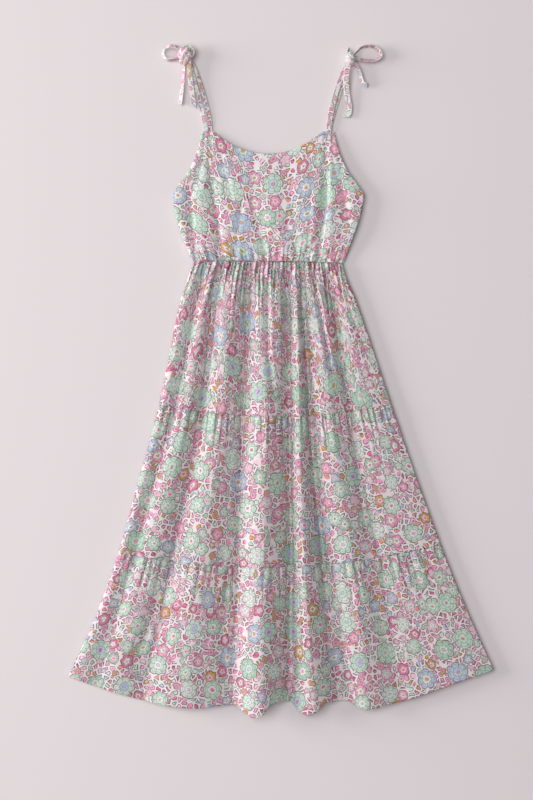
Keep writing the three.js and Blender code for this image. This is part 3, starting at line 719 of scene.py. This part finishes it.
# %% Main folds of the skirt, at levels along it; valleys are shares of the width, crests of the fold
SKIRT_LEVELS = [0, 0.2, 1, 2, 3]
SKIRT_FOLDS = [
    dict(valley=[0, 0, 0, 0, 0], floor=[0, 0, 0, 0, 0], crest=[0.5, 0.45, 0.35, 0.35, 0.4],
         height=[2, 5, 5.5, 4.8, 4]),
    dict(valley=[0.09, 0.1, 0.07, 0.051, 0.068], floor=[1, 2, 2.8, 2.6, 2],
         crest=[0.45, 0.48, 0.5, 0.5, 0.45], height=[2, 8, 11, 11, 9]),
    dict(valley=[0.18, 0.188, 0.183, 0.168, 0.172], floor=[1.5, 1.5, 2, 3, 3.5],
         crest=[0.55, 0.5, 0.52, 0.46, 0.5], height=[2.5, 11, 16, 19, 20]),
    dict(valley=[0.375, 0.386, 0.364, 0.37, 0.387], floor=[1.5, 2, 3, 4.5, 5],
         crest=[0.5, 0.5, 0.5, 0.48, 0.5], foot=[1, 1, 1, 1, 0.92], height=[2.5, 13, 21, 29, 32]),
    dict(valley=[0.645, 0.625, 0.566, 0.539, 0.526], floor=[1.5, 2, 2.5, 3, 3],
         crest=[0.6, 0.55, 0.45, 0.4, 0.4], foot=[1, 1, 1, 0.98, 0.85], height=[2.5, 10.5, 18, 24, 27]),
    dict(valley=[0.735, 0.712, 0.652, 0.64, 0.656], floor=[1.5, 2, 2.2, 2, 2],
         crest=[0.5, 0.5, 0.5, 0.5, 0.42], height=[2.5, 10.5, 17, 20, 21]),
    dict(valley=[0.92, 0.896, 0.826, 0.81, 0.78], floor=[1.5, 3, 4, 7, 9], crest=[0.5, 0.45, 0.35, 0.2, 0.2],
         height=[2, 6.5, 8.5, 10, 11]),
]
RIGHT_FLOOR = [1, 3, 4, 4, 4]
SIDE_LOFT = dict(left=2.4, left_reach=0.2, right=4, right_reach=0.25, radius=0.5)
print("main folds:", len(SKIRT_FOLDS))

# %% Tiers and their seams
TIERS = [
    dict(name="skirt_tier1", top=0, cut=232, gathers=38, height=7.4, length=92, seed=11,
         columns=400, rows=110),
    dict(name="skirt_tier2", top=1, cut=225, gathers=36, height=4.2, length=64, seed=23,
         columns=400, rows=110),
    dict(name="skirt_tier3", top=2, cut=203, gathers=44, height=4.2, length=60, seed=37,
         columns=420, rows=112),
]
for tier in TIERS:
    tier["edges"] = uneven_edges(tier["gathers"], tier["seed"])
CLOTH = 1.4  # wall of the solids, which the shell lies on
FRONT_BASE = CLOTH + 0.3
TUCK = 0.016  # share of a tier's length that goes up under the seam above it
TUCK_DROP = dict(depth=4.5, low=-2.5, high=-0.3)  # how deep, and between which distances from the seam
SEAM_FLOOR = 1.9  # least height of the cloth at a seam
SEAM_GROOVE = 2.2
SEAM_TOP, SEAM_REACH = -0.5, 1.9  # between which distances from a seam its thread pulls the cloth down
EDGE_SINK = dict(depth=0.7, start=0.975)  # a tier's lower edge sinks into the seam below it
WAIST_PULL = 0.62  # share of the cloth's height that the elastic takes away
HEM_TURN = dict(width=11, rise=0.5, slope=0.8)
LEAST_RISE = 0.2  # least height of the front over its base
SKIRT_CRUMPLES = [(0.55, 26), (0.25, 9)]
print("gathers of the skirt:", sum(tier["gathers"] for tier in TIERS))

# %% Creases of the skirt: widths to the left and right, then (x, y, depth) from top to bottom
SKIRT_CREASES = [
    (12, 5.8, [  # left side fold, waist to hem
        (-97.5, -3, 1), (-102.8, -51, 2.4), (-115.5, -126, 2.4), (-135, -201, 2), (-150, -276, 2.2),
        (-175.5, -351, 1.8), (-198, -433.5, 1.4), (-219, -501, 1), (-249, -576, 0.5), (-264, -621, 0)]),
    (11, 5.2, [  # second fold from the left
        (-78, 0, 4), (-79.5, -51, 6.4), (-84.8, -126, 6), (-96, -201, 4), (-105.8, -276, 3.4),
        (-121.5, -351, 2.8), (-144, -433.5, 2.2), (-165, -501, 2), (-186, -576, 1.2), (-195, -621, 0)]),
    (9, 4.1, [  # short crease beside it
        (-72, 0, 1.4), (-72, -51, 1.6), (-75, -126, 1.2), (-81, -178.5, 0)]),
    (11.5, 5.4, [  # left middle fold
        (-28.5, 0, 4.4), (-28.5, -51, 5.6), (-30.8, -126, 4), (-35.2, -201, 3.6), (-39, -276, 4.4),
        (-43.5, -351, 4), (-46.5, -441, 2.6), (-45, -501, 2.2), (-54, -576, 1.6), (-55.5, -636, 0.6)]),
    (16.5, 6.6, [  # lower crease on the left middle fold
        (-69, -403.5, 0), (-63, -463.5, 3.4), (-64.5, -501, 4.4), (-67.5, -561, 3), (-63, -636, 1)]),
    (10.5, 5, [  # crease on the second tier
        (-58.5, -213, 0), (-57, -246, 2), (-55.5, -283.5, 1.4), (-60, -336, 0)]),
    (12, 6.6, [  # middle fold of the first tier
        (-14.2, 3, 1.5), (-0.8, -28.5, 5), (0, -81, 5), (0, -126, 4.4), (6, -178.5, 2.4), (12, -216, 0)]),
    (7, 3.6, [  # waist crease left of the middle
        (-14.5, 6, 4.6), (-14, -21, 6.6), (-11, -36, 2), (-9, -51, 0)]),
    (16, 9, [  # raised fold right of the middle, so its depths are negative
        (18, 0, -2.5), (18, -28, -4.5), (19, -81, -4.5), (19, -126, -3.5), (18, -171, -2), (18, -201, 0)]),
    (18, 6.6, [  # centre fold
        (30, 0, 2.4), (31.5, -51, 3), (31.5, -126, 3.4), (30, -201, 3.2), (32.2, -276, 4.4),
        (34.5, -351, 4.4), (33.8, -441, 4.4), (33, -501, 4.4), (34.5, -576, 4.2), (36, -643.5, 3)]),
    (11, 5.6, [  # fold right of the centre
        (51.8, 3, 4.6), (54, -51, 6.8), (57, -126, 4.4), (62.2, -201, 3.6), (67.5, -276, 4.8),
        (75.8, -351, 4.6), (82.5, -418.5, 4), (87, -501, 2.2), (91.5, -576, 1.4), (93, -636, 0.6)]),
    (13.5, 5.8, [  # its branch on the lowest tier
        (90, -411, 0), (102, -471, 2.8), (107.2, -501, 3.6), (111, -576, 3.2), (117, -636, 1.4)]),
    (5.25, 2.5, [  # small waist crease
        (57, 6, 1.4), (60, -28.5, 1.6), (61.5, -73.5, 0)]),
    (9, 4.4, [  # slanting fold on the right
        (67, -3, 4), (71, -24, 7), (75.5, -48, 8), (83, -90, 6), (92, -136, 4), (98, -177, 0)]),
    (9.5, 5.4, [  # right fold
        (87.5, -3, 4), (92.5, -28.5, 7), (96.5, -51, 7.6), (104, -96, 6.2), (108.5, -126, 4.6),
        (114.5, -171, 2.8), (121, -201, 2), (127.5, -238.5, 3.4), (132, -276, 3.6), (138, -336, 2.6),
        (147, -396, 1.4), (159, -456, 0)]),
    (10.5, 5, [  # crease by the right edge
        (109.5, -18, 0), (115.5, -36, 1.4), (127.5, -78, 1.6), (142.5, -114, 1.4), (154.5, -145.5, 0)]),
    (10.5, 5.8, [  # crease by the right edge of the second tier
        (136.5, -198, 0), (147, -231, 2.2), (159, -261, 1.6), (168, -291, 0)]),
    (12, 6.6, [  # crease on the lowest tier
        (114, -441, 0), (126, -486, 1.6), (129, -531, 1.4), (135, -591, 0)]),
    (13.5, 8.2, [  # right crease of the lowest tier
        (147, -418.5, 0), (154.5, -456, 1.8), (162, -501, 2), (177, -561, 1.6), (186, -621, 0)]),
    (12, 6.6, [  # left crease of the lowest tier
        (-126, -441, 0), (-135, -501, 1.2), (-129, -561, 1), (-123, -621, 0)]),
    (18, 7.4, [  # crease at the left corner
        (-165, -463.5, 0), (-171, -516, 1.6), (-192, -576, 2), (-201, -609, 0)]),
]
TUCK_START = 7
TUCK_WIDTHS = (2.8, 2.2)
WAIST_TUCKS = [  # x at the waist, x and y at the lower end, depth
    (-98, -99, -50, 9), (-73.5, -75, -42, 8), (-68, -68, -31, 6), (-25.5, -26, -31, 7), (10.5, 10, -42, 7),
    (28, 28, -46, 8), (50, 51.5, -81, 10), (69, 71, -46, 8), (82, 93, -78, 11), (102, 111, -42, 8)]
for top_x, low_x, low_y, depth in WAIST_TUCKS:
    bend = (0.4 * top_x + 0.6 * low_x, 0.6 * low_y, depth)
    SKIRT_CREASES.append((*TUCK_WIDTHS, [(top_x, TUCK_START, depth), bend, (low_x, low_y, 0)]))
print("creases of the skirt:", len(SKIRT_CREASES))

# %% Front of a tier
def skirt_line(name, along):
    """One named line of the skirt, read at places along it."""
    return read([(row["along"], row[name]) for row in SKIRT_LINES], along)


def skirt_plan(share, along):
    """Where the skirt lies on the surface: x and y of a share of the width at a place along it."""
    left_x, right_x = skirt_line("left_x", along), skirt_line("right_x", along)
    left_y, right_y = skirt_line("left_y", along), skirt_line("right_y", along)
    sag = skirt_line("middle_y", along) - (left_y + right_y) / 2
    y = left_y + (right_y - left_y) * share + sag * (1 - (2 * share - 1) ** 2)
    return left_x + (right_x - left_x) * share, y


def tier_front(tier):
    """The surface of a tier's front, tucked a little under the seam above it."""
    fold_line = tier["cut"] - HEM_TURN["width"]

    def surface(share, down):
        step = down * (1 + TUCK) - TUCK
        along = tier["top"] + np.maximum(step, 0)
        distance = step * tier["cut"]
        x, y = skirt_plan(share, along)
        width = x[:, -1:] - x[:, :1]
        y = y - read(HEM_DROOP, share) * np.maximum(along - 2, 0) ** 2 + np.where(step < 0, -distance, 0)
        y -= read(WAIST_DIP, share) * (1 - ease(along, 0, DIP_BELOW))
        rise = arches(SKIRT_FOLDS, SKIRT_LEVELS, share, along, RIGHT_FLOOR) - creases(SKIRT_CREASES, x, y)
        rise += SIDE_LOFT["left"] * (1 - ease(share, 0, SIDE_LOFT["left_reach"]))
        rise += SIDE_LOFT["right"] * ease(share, 1 - SIDE_LOFT["right_reach"], 1)
        gathered = seam_gathers(share, distance, tier["edges"], tier["height"], tier["length"], tier["seed"],
                                PUCKERS["length"])
        rise = (rise + gathered) * rounded_side(from_side(share) * width, SIDE_LOFT["radius"])
        z = FRONT_BASE + CLOTH + np.maximum(rise, LEAST_RISE)
        groove = SEAM_GROOVE if tier["top"] else WAIST_PULL * (z - SEAM_FLOOR)
        z -= groove * (1 - ease(distance, SEAM_TOP, SEAM_REACH))
        z -= TUCK_DROP["depth"] * (1 - ease(distance, TUCK_DROP["low"], TUCK_DROP["high"]))
        z = np.maximum(z, SEAM_FLOOR)
        if tier["top"] < 2:
            z -= EDGE_SINK["depth"] * ease(step, EDGE_SINK["start"], 1)
        else:
            z += HEM_TURN["rise"] * ease(distance, fold_line - HEM_TURN["slope"], fold_line)
        return crumpled(lean_over(x, share, gathered), y, z, share, SKIRT_CRUMPLES, tier["seed"],
                        margin=0.03)
    return surface


for number, tier in enumerate(TIERS):
    cut_shift = (0.37 * number + 0.21, 0.83 * number + 0.4)  # where on the printed cloth, in metres
    cloth_panel(tier["name"] + "_front", "skirt_cloth", tier_front(tier), tier["columns"], tier["rows"],
                cut_shift, tucks=tier["edges"])

# %% Back of a tier
BACK_INSET = 3
BACK_BASE = 0.75
BACK_SHELL = 0.7
BACK_GATHER = 0.6
BACK_SEED = 60


def tier_back(tier):
    """The back lies flat on the surface, with its gathers pressed low under the front."""
    def surface(share, down):
        along = tier["top"] + down
        x, y = skirt_plan(share, along)
        x = x + BACK_INSET * (1 - 2 * share)
        y = y + BACK_INSET * np.maximum(along - 2, 0)
        z = BACK_BASE + gathers(share, down * tier["cut"], tier["edges"], BACK_GATHER, tier["length"],
                                tier["seed"] + BACK_SEED)
        return np.stack((x, y, z), axis=-1)
    return surface


for number, tier in enumerate(TIERS):
    cut_shift = (0.29 * number + 3.1, 0.61 * number + 1.7)
    cloth_panel(tier["name"] + "_back", "skirt_cloth", tier_back(tier), columns=180, rows=40,
                cut_shift=cut_shift, shell=BACK_SHELL)

# %% [markdown]
# ## Bodice
#
# The bodice is cut plainly, with no darts: a wide scoop at the neck, straight strap points, hollowed
# armholes and sides that run in to the elastic. It blouses a little over the waist, where the elastic
# gathers it, and a few soft folds run down from the straps. It could be a flat cut-out with a bump, but
# then nothing would blouse, so it is laid as a grid like the tiers, with rows that bend from the waist to
# the scoop. Its outline and loft are the tables of the solids, and two of its folds are a little lower here.

# %% Bodice tables
WAIST_SEAM = 6
STRAP_POINT_HEIGHT, STRAP_POINT_OUTER, STRAP_POINT_INNER = 202, 99, 82
FRONT_NECK_HEIGHT, BACK_NECK_HEIGHT = 168.5, 150
UNDERARM = 107
SIDE_SEAM = [  # height, half the width
    (WAIST_SEAM, 113), (28, 122), (60, 134), (90, 141.5), (UNDERARM, 144.5)]
ARMHOLE = [  # height, half the width
    (UNDERARM, 144.5), (126, 131), (144, 118.5), (174, 106), (STRAP_POINT_HEIGHT, STRAP_POINT_OUTER)]
BODICE_LOFT = [  # height, rise
    (WAIST_SEAM, 2), (30, 6.5), (70, 7.5), (120, 6), (170, 4), (STRAP_POINT_HEIGHT, 1.5)]
BODICE_TILT = dict(rise=1.5, share=0.9, height=60)  # the right side lies higher, fully so from these on
BODICE_LEVELS = [WAIST_SEAM, 100, STRAP_POINT_HEIGHT]
BODICE_FOLDS = [
    dict(valley=[0, 0, 0], floor=[0, 0.5, 0], crest=[0.5, 0.4, 0.5], height=[1, 2.5, 0.6]),
    dict(valley=[0.028, 0.1, 0.02], floor=[0.5, 1, 0.3], crest=[0.4, 0.42, 0.5], height=[1.7, 4, 1.1]),
    dict(valley=[0.19, 0.22, 0.05], floor=[0.8, 0.8, 0.4], crest=[0.4, 0.35, 0.4], height=[1.8, 3.6, 1.4]),
    dict(valley=[0.49, 0.455, 0.38], floor=[1, 1.3, 1], crest=[0.5, 0.5, 0.5], height=[1.8, 3.8, 1.6]),
    dict(valley=[0.7, 0.63, 0.64], floor=[1, 1.5, 1], crest=[0.5, 0.6, 0.5], height=[2, 4, 1.4]),
    dict(valley=[0.83, 0.8, 0.96], floor=[0.5, 0.6, 0.4], crest=[0.4, 0.4, 0.5], height=[1.7, 4.2, 0.8]),
    dict(valley=[0.985, 0.895, 0.985], floor=[0.5, 1.5, 0.3], crest=[0.5, 0.5, 0.5], height=[0.8, 2.6, 0.5]),
]
BODICE_RIGHT_FLOOR = [0, 1, 0.2]
BODICE_SEED = 3
BODICE_EDGES = uneven_edges(27, BODICE_SEED)
BODICE_SEAM = dict(height=3.6, length=34, pucker_length=20, back_length=38, reach=1.7)
BODICE_CRUMPLES = [(0.5, 24), (0.22, 8)]
OPEN_EDGE = dict(share=0.85, low=100, high=118)  # loft that stays at the armholes, where no seam holds it
print("main folds of the bodice:", len(BODICE_FOLDS))

# %% Creases of the bodice, in the same way
BODICE_CREASES = [
    (12, 5, [  # fold under the left armhole
        (-118.5, 132, 0), (-115.5, 99, 1.8), (-113.2, 61.5, 2), (-109.5, 24, 1), (-106.5, 6, 0.6)]),
    (12, 5.8, [  # fold from the left strap
        (-90, 195, 0.6), (-88.5, 159, 2), (-84, 117, 3), (-77.2, 81, 4.8), (-72.8, 42, 5.2),
        (-70.5, 12, 3.4), (-69.8, 3, 2)]),
    (10.5, 5.8, [  # soft fold left of the middle
        (-37.5, 114, 0), (-39, 87, 1.6), (-45, 51, 1.4), (-48, 21, 0.6)]),
    (10.5, 5.8, [  # slanting fold to the waist
        (-25.5, 114, 0), (-21, 91.5, 1.6), (-13.5, 60, 2), (-5.2, 28.5, 3), (-4.5, 6, 2)]),
    (10.5, 5.8, [  # short fold right of the middle
        (27, 84, 0), (31.5, 57, 1.6), (42, 24, 1.4), (45, 6, 1)]),
    (10.5, 5, [  # soft fold beside the right strap fold
        (67.5, 151.5, 0), (64.5, 106.5, 1.4), (61.5, 46.5, 1.6), (58.5, 12, 1)]),
    (12, 5.8, [  # fold from the right strap
        (90.8, 189, 0.6), (90, 159, 2.6), (87.8, 121.5, 4.2), (85.5, 88.5, 5.4), (80.2, 54, 5.4),
        (75.8, 24, 3.4), (74.2, 6, 1.6)]),
    (10.5, 5.8, [  # fold under the right armhole
        (103.5, 174, 0), (109.5, 147, 1.6), (111.8, 114, 1.6), (120, 79.5, 2.2), (123, 46.5, 1.2),
        (117, 12, 0.6)]),
    (12, 5.8, [  # soft fold at the left of the neck
        (-70.5, 174, 0.4), (-66, 151.5, 1.6), (-57, 114, 1.6), (-49.5, 84, 0)]),
]
print("creases of the bodice:", len(BODICE_CREASES))

# %% Bodice panels
def bodice_plan(share, height, neck, inset):
    """Where the bodice lies: rows follow the height up its sides and bend down towards the neckline."""
    side = read(SIDE_SEAM, np.minimum(height, UNDERARM))
    half = np.where(height < UNDERARM, side, read(ARMHOLE, np.maximum(height, UNDERARM))) - inset
    reach = np.minimum(np.abs((STRAP_POINT_OUTER - inset) * (2 * share - 1)) / STRAP_POINT_INNER, 1)
    top = neck + (STRAP_POINT_HEIGHT - neck) * reach ** 2
    y = WAIST_SEAM + (height - WAIST_SEAM) / (STRAP_POINT_HEIGHT - WAIST_SEAM) * (top - WAIST_SEAM)
    return half * (2 * share - 1), y


def bodice_front(share, down):
    """The surface of the front: a low loft with folds and creases, gathered at the waist."""
    height = STRAP_POINT_HEIGHT + (WAIST_SEAM - STRAP_POINT_HEIGHT) * down
    distance = height - WAIST_SEAM
    x, y = bodice_plan(share, height, FRONT_NECK_HEIGHT, 0)
    y -= read(WAIST_DIP, share) * (1 - ease(distance, 0, DIP_ABOVE))
    open_edge = OPEN_EDGE["share"] * ease(height, OPEN_EDGE["low"], OPEN_EDGE["high"])
    width = x[:, -1:] - x[:, :1]
    side = rounded_side(from_side(share) * width, SIDE_LOFT["radius"]) * (1 - open_edge) + open_edge
    tilt = ease(share, 0, BODICE_TILT["share"]) * ease(height, WAIST_SEAM, BODICE_TILT["height"])
    loft = read(BODICE_LOFT, height) + BODICE_TILT["rise"] * tilt
    rise = arches(BODICE_FOLDS, BODICE_LEVELS, share, height, BODICE_RIGHT_FLOOR) + loft * side
    rise -= creases(BODICE_CREASES, x, y)
    gathered = seam_gathers(share, distance, BODICE_EDGES, BODICE_SEAM["height"], BODICE_SEAM["length"],
                            BODICE_SEED, BODICE_SEAM["pucker_length"])
    z = FRONT_BASE + CLOTH + np.maximum(rise + gathered, LEAST_RISE)
    z -= WAIST_PULL * (z - SEAM_FLOOR) * (1 - ease(distance, SEAM_TOP, BODICE_SEAM["reach"]))
    return crumpled(lean_over(x, share, gathered), y, z, share, BODICE_CRUMPLES, seed=2, margin=0.04)


def bodice_back(share, down):
    """The surface of the back, which lies flat under the front."""
    height = STRAP_POINT_HEIGHT + (WAIST_SEAM - STRAP_POINT_HEIGHT) * down
    x, y = bodice_plan(share, height, BACK_NECK_HEIGHT, BACK_INSET)
    z = BACK_BASE + gathers(share, height - WAIST_SEAM, BODICE_EDGES, BACK_GATHER,
                            BODICE_SEAM["back_length"], BODICE_SEED + BACK_SEED)
    return np.stack((x, y, z), axis=-1)


cloth_panel("bodice_front", "bodice_cloth", bodice_front, columns=230, rows=160, cut_shift=(5.3, 2.4),
            seam_below=True)
cloth_panel("bodice_back", "bodice_cloth", bodice_back, columns=140, rows=60, cut_shift=(6.7, 3.2),
            shell=BACK_SHELL)

# %% [markdown]
# ## Straps and bows
#
# Each strap is a narrow strip of the same cloth, folded and stitched to about eight millimetres. The front
# and back straps meet at the shoulder in a bow. A bevelled curve could make such a band, but it gives no UV
# map in metres of cloth. So a band is a grid rolled up into a flat tube and swept along its path, rolled
# about its own length where it stands on edge, and its open ends are filled. The paths are those of the
# solids, moved by two millimetres at most.

# %% Band tables
STRAP_THICKNESS = 2.0
STRAP_PRINT = dict(across=2.0, along=1.0, start=8, step_across=0.173, step_along=0.291)
BAND_AROUND = 20
STEPS_PER_POINT = 9
BAND_SAG = 0.35
WIDE_POWER, THICK_POWER = 0.45, 0.7  # below 1, so a band is flat with rounded edges
SLANT_FROM = 0.8  # part of a band's length from which its end runs out to a slant
BANDS = {
    "strap_left_front": dict(width=(7, 7), roll=(0, -8), path=[
        (-93, 202.3, 3.9), (-93.2, 207, 4.3), (-97, 225, 5.5), (-103.4, 250, 6.5), (-110.6, 277, 7.3),
        (-117.4, 301, 8.6), (-122, 312, 9.6)]),
    "strap_left_back": dict(width=(7, 7), roll=(0, -8), path=[
        (-86.4, 202.3, 1.4), (-86.4, 207, 1.5), (-88.7, 225, 2.2), (-95, 250, 3.1), (-103.4, 277, 4),
        (-113, 301, 5.2), (-119, 312, 6.6)]),
    "bow_left_loop": dict(width=(8, 8), roll=(38, 74), path=[
        (-128, 320, 11), (-134.5, 325.5, 10.6), (-141, 329.3, 9.8), (-149, 329.3, 8.6), (-155.6, 324.6, 7.6),
        (-157, 317.2, 7.2), (-152.4, 310.9, 7.2), (-145, 309.4, 7.8), (-137, 310.6, 8.8), (-128, 312, 10)]),
    "bow_left_small_loop": dict(width=(9, 9), roll=(58, 50), path=[
        (-127, 319, 10.5), (-125.5, 325.5, 10.5), (-121, 328.5, 10.4), (-115.5, 326.5, 10.6),
        (-112.6, 321, 11), (-114, 315.5, 11.2), (-119, 312.5, 11)]),
    "bow_left_tail_outer": dict(width=(6.5, 9), roll=(62, 38), slant=-1.5, path=[
        (-125.5, 309, 7.4), (-126, 293, 6.6), (-127.2, 279, 6.2), (-129, 264, 5.8), (-132, 243, 4.8)]),
    "bow_left_tail_inner": dict(width=(6.5, 8.5), roll=(0, 0), slant=-3, path=[
        (-118.5, 309, 14.2), (-117, 290, 12.2), (-115, 270, 10.6), (-112.8, 254, 9.8), (-111, 239, 9.2)]),
    "strap_right_front": dict(width=(8, 8), roll=(0, 8), path=[
        (91.5, 202.3, 3.9), (91.5, 207, 4.3), (93, 222, 5.3), (97.5, 242, 6.2), (102.5, 261, 6.9),
        (109.5, 282, 7.6), (117.5, 300, 8.6), (121.5, 309, 9.6)]),
    "strap_right_back": dict(width=(8, 8), roll=(0, 8), path=[
        (92.5, 202.3, 1.4), (92.6, 207, 1.5), (96.5, 225, 2.1), (104.5, 252, 3.1), (111.5, 273, 3.9),
        (119.5, 297, 5), (124, 309, 6.4)]),
    "bow_right_loop": dict(width=(9, 9), roll=(84, 50), path=[
        (127, 314, 11), (134.6, 322.5, 10.5), (141, 327.8, 9.5), (150, 330, 8.5), (159, 329, 7.6),
        (166.5, 324, 7), (170, 316, 6.8), (165, 310, 6.8), (153, 308, 7.4), (141, 309.2, 8.4),
        (128, 314, 10)]),
    "bow_right_small_loop": dict(width=(8, 8), roll=(78, 78), path=[
        (120.2, 313, 10.5), (119.6, 319.5, 10.5), (120.2, 323.6, 10.2), (121.8, 325.2, 10),
        (123.4, 323.4, 10), (124, 318.5, 10.4), (123.6, 313, 10.5)]),
    "bow_right_tail_outer": dict(width=(8, 8), roll=(62, 50), slant=2, path=[
        (126.5, 307, 9), (133.4, 299, 7.6), (137.6, 291, 6.8), (140, 282, 6.4), (143, 275, 6),
        (149.5, 271, 5.8)]),
    "bow_right_tail_inner": dict(width=(9, 9.5), roll=(0, 10), slant=2.5, path=[
        (122, 307, 13), (118, 289, 11.2), (117.5, 271, 8.6), (119.5, 254, 5.6), (122, 241, 4.2),
        (121.5, 231, 3.6), (117, 223.5, 3.4)]),
}


# %% Paths and sections of the bands
def smooth_path(points, steps):
    """Evenly spaced places along a smooth curve through the points, with their directions."""
    points = np.array(points, float)
    stations = np.concatenate(([0], np.cumsum(np.linalg.norm(np.diff(points, axis=0), axis=1))))
    at = np.linspace(0, stations[-1], steps + 1)
    places = np.stack([through(stations, points[:, k], at) for k in range(3)], axis=-1)
    ways = np.gradient(places, at, axis=0)
    return places, ways / np.linalg.norm(ways, axis=1, keepdims=True), stations[-1]


def mix(pair, part):
    """A value between the two of a pair."""
    return pair[0] + (pair[1] - pair[0]) * part


def rounded(value, power):
    """A value between -1 and 1, pushed outwards to make a boxier curve."""
    return math.copysign(abs(value) ** power, value)


def band_point(band, place, way, turn, part):
    """A point on the skin of a band: turn goes round the band, and part runs along it from 0 to 1."""
    side = way.cross(Vector((0, 0, 1))).normalized()
    side.rotate(Matrix.Rotation(math.radians(mix(band["roll"], part)), 3, way))
    wide = rounded(math.cos(turn), WIDE_POWER)
    thick = rounded(math.sin(turn), THICK_POWER) * STRAP_THICKNESS / 2
    sag = BAND_SAG * (1 - wide ** 2)
    slant = band.get("slant", 0) * wide * max(0, part - SLANT_FROM) / (1 - SLANT_FROM)
    half = mix(band["width"], part) / 2
    return place + side * wide * half + side.cross(way) * (thick - sag) + way * slant


# %% Sweep each band along its path
def band_piece(name, band, number):
    """A flat band with rounded edges along its path; its end is cut at a slant."""
    steps = STEPS_PER_POINT * len(band["path"])
    places, ways, length = smooth_path(band["path"], steps)
    bm = bmesh.new()
    bmesh.ops.create_grid(bm, x_segments=BAND_AROUND, y_segments=steps, size=0.5)
    uv_layer = bm.loops.layers.uv.new("cloth")
    spread = 2 * max(band["width"]) * MM * STRAP_PRINT["across"]
    start_u = STRAP_PRINT["step_across"] * number + STRAP_PRINT["start"]
    start_v = STRAP_PRINT["step_along"] * number
    for face in bm.faces:
        for loop in face.loops:
            v = (loop.vert.co.y + 0.5) * length * MM * STRAP_PRINT["along"]
            loop[uv_layer].uv = (loop.vert.co.x * spread + start_u, v + start_v)
    for vert in bm.verts:
        turn = 2 * math.pi * (vert.co.x + 0.5)
        step = round((vert.co.y + 0.5) * steps)
        vert.co = band_point(band, Vector(places[step]), Vector(ways[step]), turn, step / steps) * MM
    bmesh.ops.remove_doubles(bm, verts=bm.verts, dist=1e-6)
    bmesh.ops.holes_fill(bm, edges=[edge for edge in bm.edges if edge.is_boundary], sides=0)
    bmesh.ops.recalc_face_normals(bm, faces=bm.faces)
    return finish_piece(bm, name, "strap_cloth"), sum(band["width"]) / 2, length


for number, (name, band) in enumerate(BANDS.items()):
    band_piece(name, band, number)

# %% [markdown]
# ## Knots
#
# Each bow is held by a knot, where the ends of two straps cross and are pulled tight. The band could be
# swept round itself here too, but at this size only the creases between its turns show. So a knot is one
# sphere with its vertices drawn in along leaning lines, and the ends of the bands lie inside it.

# %% Knots
KNOTS = {
    "left": dict(centre=(-123.8, 314.5, 10.4), radii=(11.8, 14.5, 9.5), lean=(0.79, -0.62, 0.12),
                 cut_shift=9.3),
    "right": dict(centre=(124, 310, 10), radii=(7.6, 12, 9.2), lean=(0.5, 0.87, 0.12), cut_shift=9.81),
}
KNOT_PRINT = 1.3
WRAPS = dict(depth=0.26, close=4.2, start=0.5, middle=0.9, power=0.5)
KNOT_NOISE = dict(depth=0.03, scale=2.3)


def knot_piece(side, knot):
    """A knot is a rounded lump with the wraps of the band pressed into it."""
    bm = bmesh.new()
    bmesh.ops.create_uvsphere(bm, u_segments=48, v_segments=32, radius=1, calc_uvs=False)
    uv_layer = bm.loops.layers.uv.new("cloth")
    centre, lean = Vector(knot["centre"]), Vector(knot["lean"])
    radii = Matrix.Diagonal(knot["radii"])
    for face in bm.faces:
        for loop in face.loops:
            flat = radii @ loop.vert.co * MM * KNOT_PRINT
            loop[uv_layer].uv = (flat.x + knot["cut_shift"], flat.y)
    for vert in bm.verts:
        way = vert.co.copy()
        wave = abs(math.cos(way.dot(lean) * WRAPS["close"] + WRAPS["start"])) ** WRAPS["power"]
        crease = WRAPS["depth"] * (wave - WRAPS["middle"])
        crease += KNOT_NOISE["depth"] * noise.noise(way * KNOT_NOISE["scale"])
        vert.co = (centre + radii @ way * (1 + crease)) * MM
    return finish_piece(bm, f"bow_{side}_knot", "strap_cloth")


for side, knot in KNOTS.items():
    print(knot_piece(side, knot).name)

# %% [markdown]
# ## The sheets of cloth
#
# Every panel and band is a sheet of cloth. Each panel is kept in a list of sheets with the width, length and
# area of its flat cut. A knot is a lump here and not a sheet, so it isn't declared. A declared sheet may not
# be narrower than ten millimetres.

# %% Sheets
for sheet in sheets:
    name = sheet["piece"].name
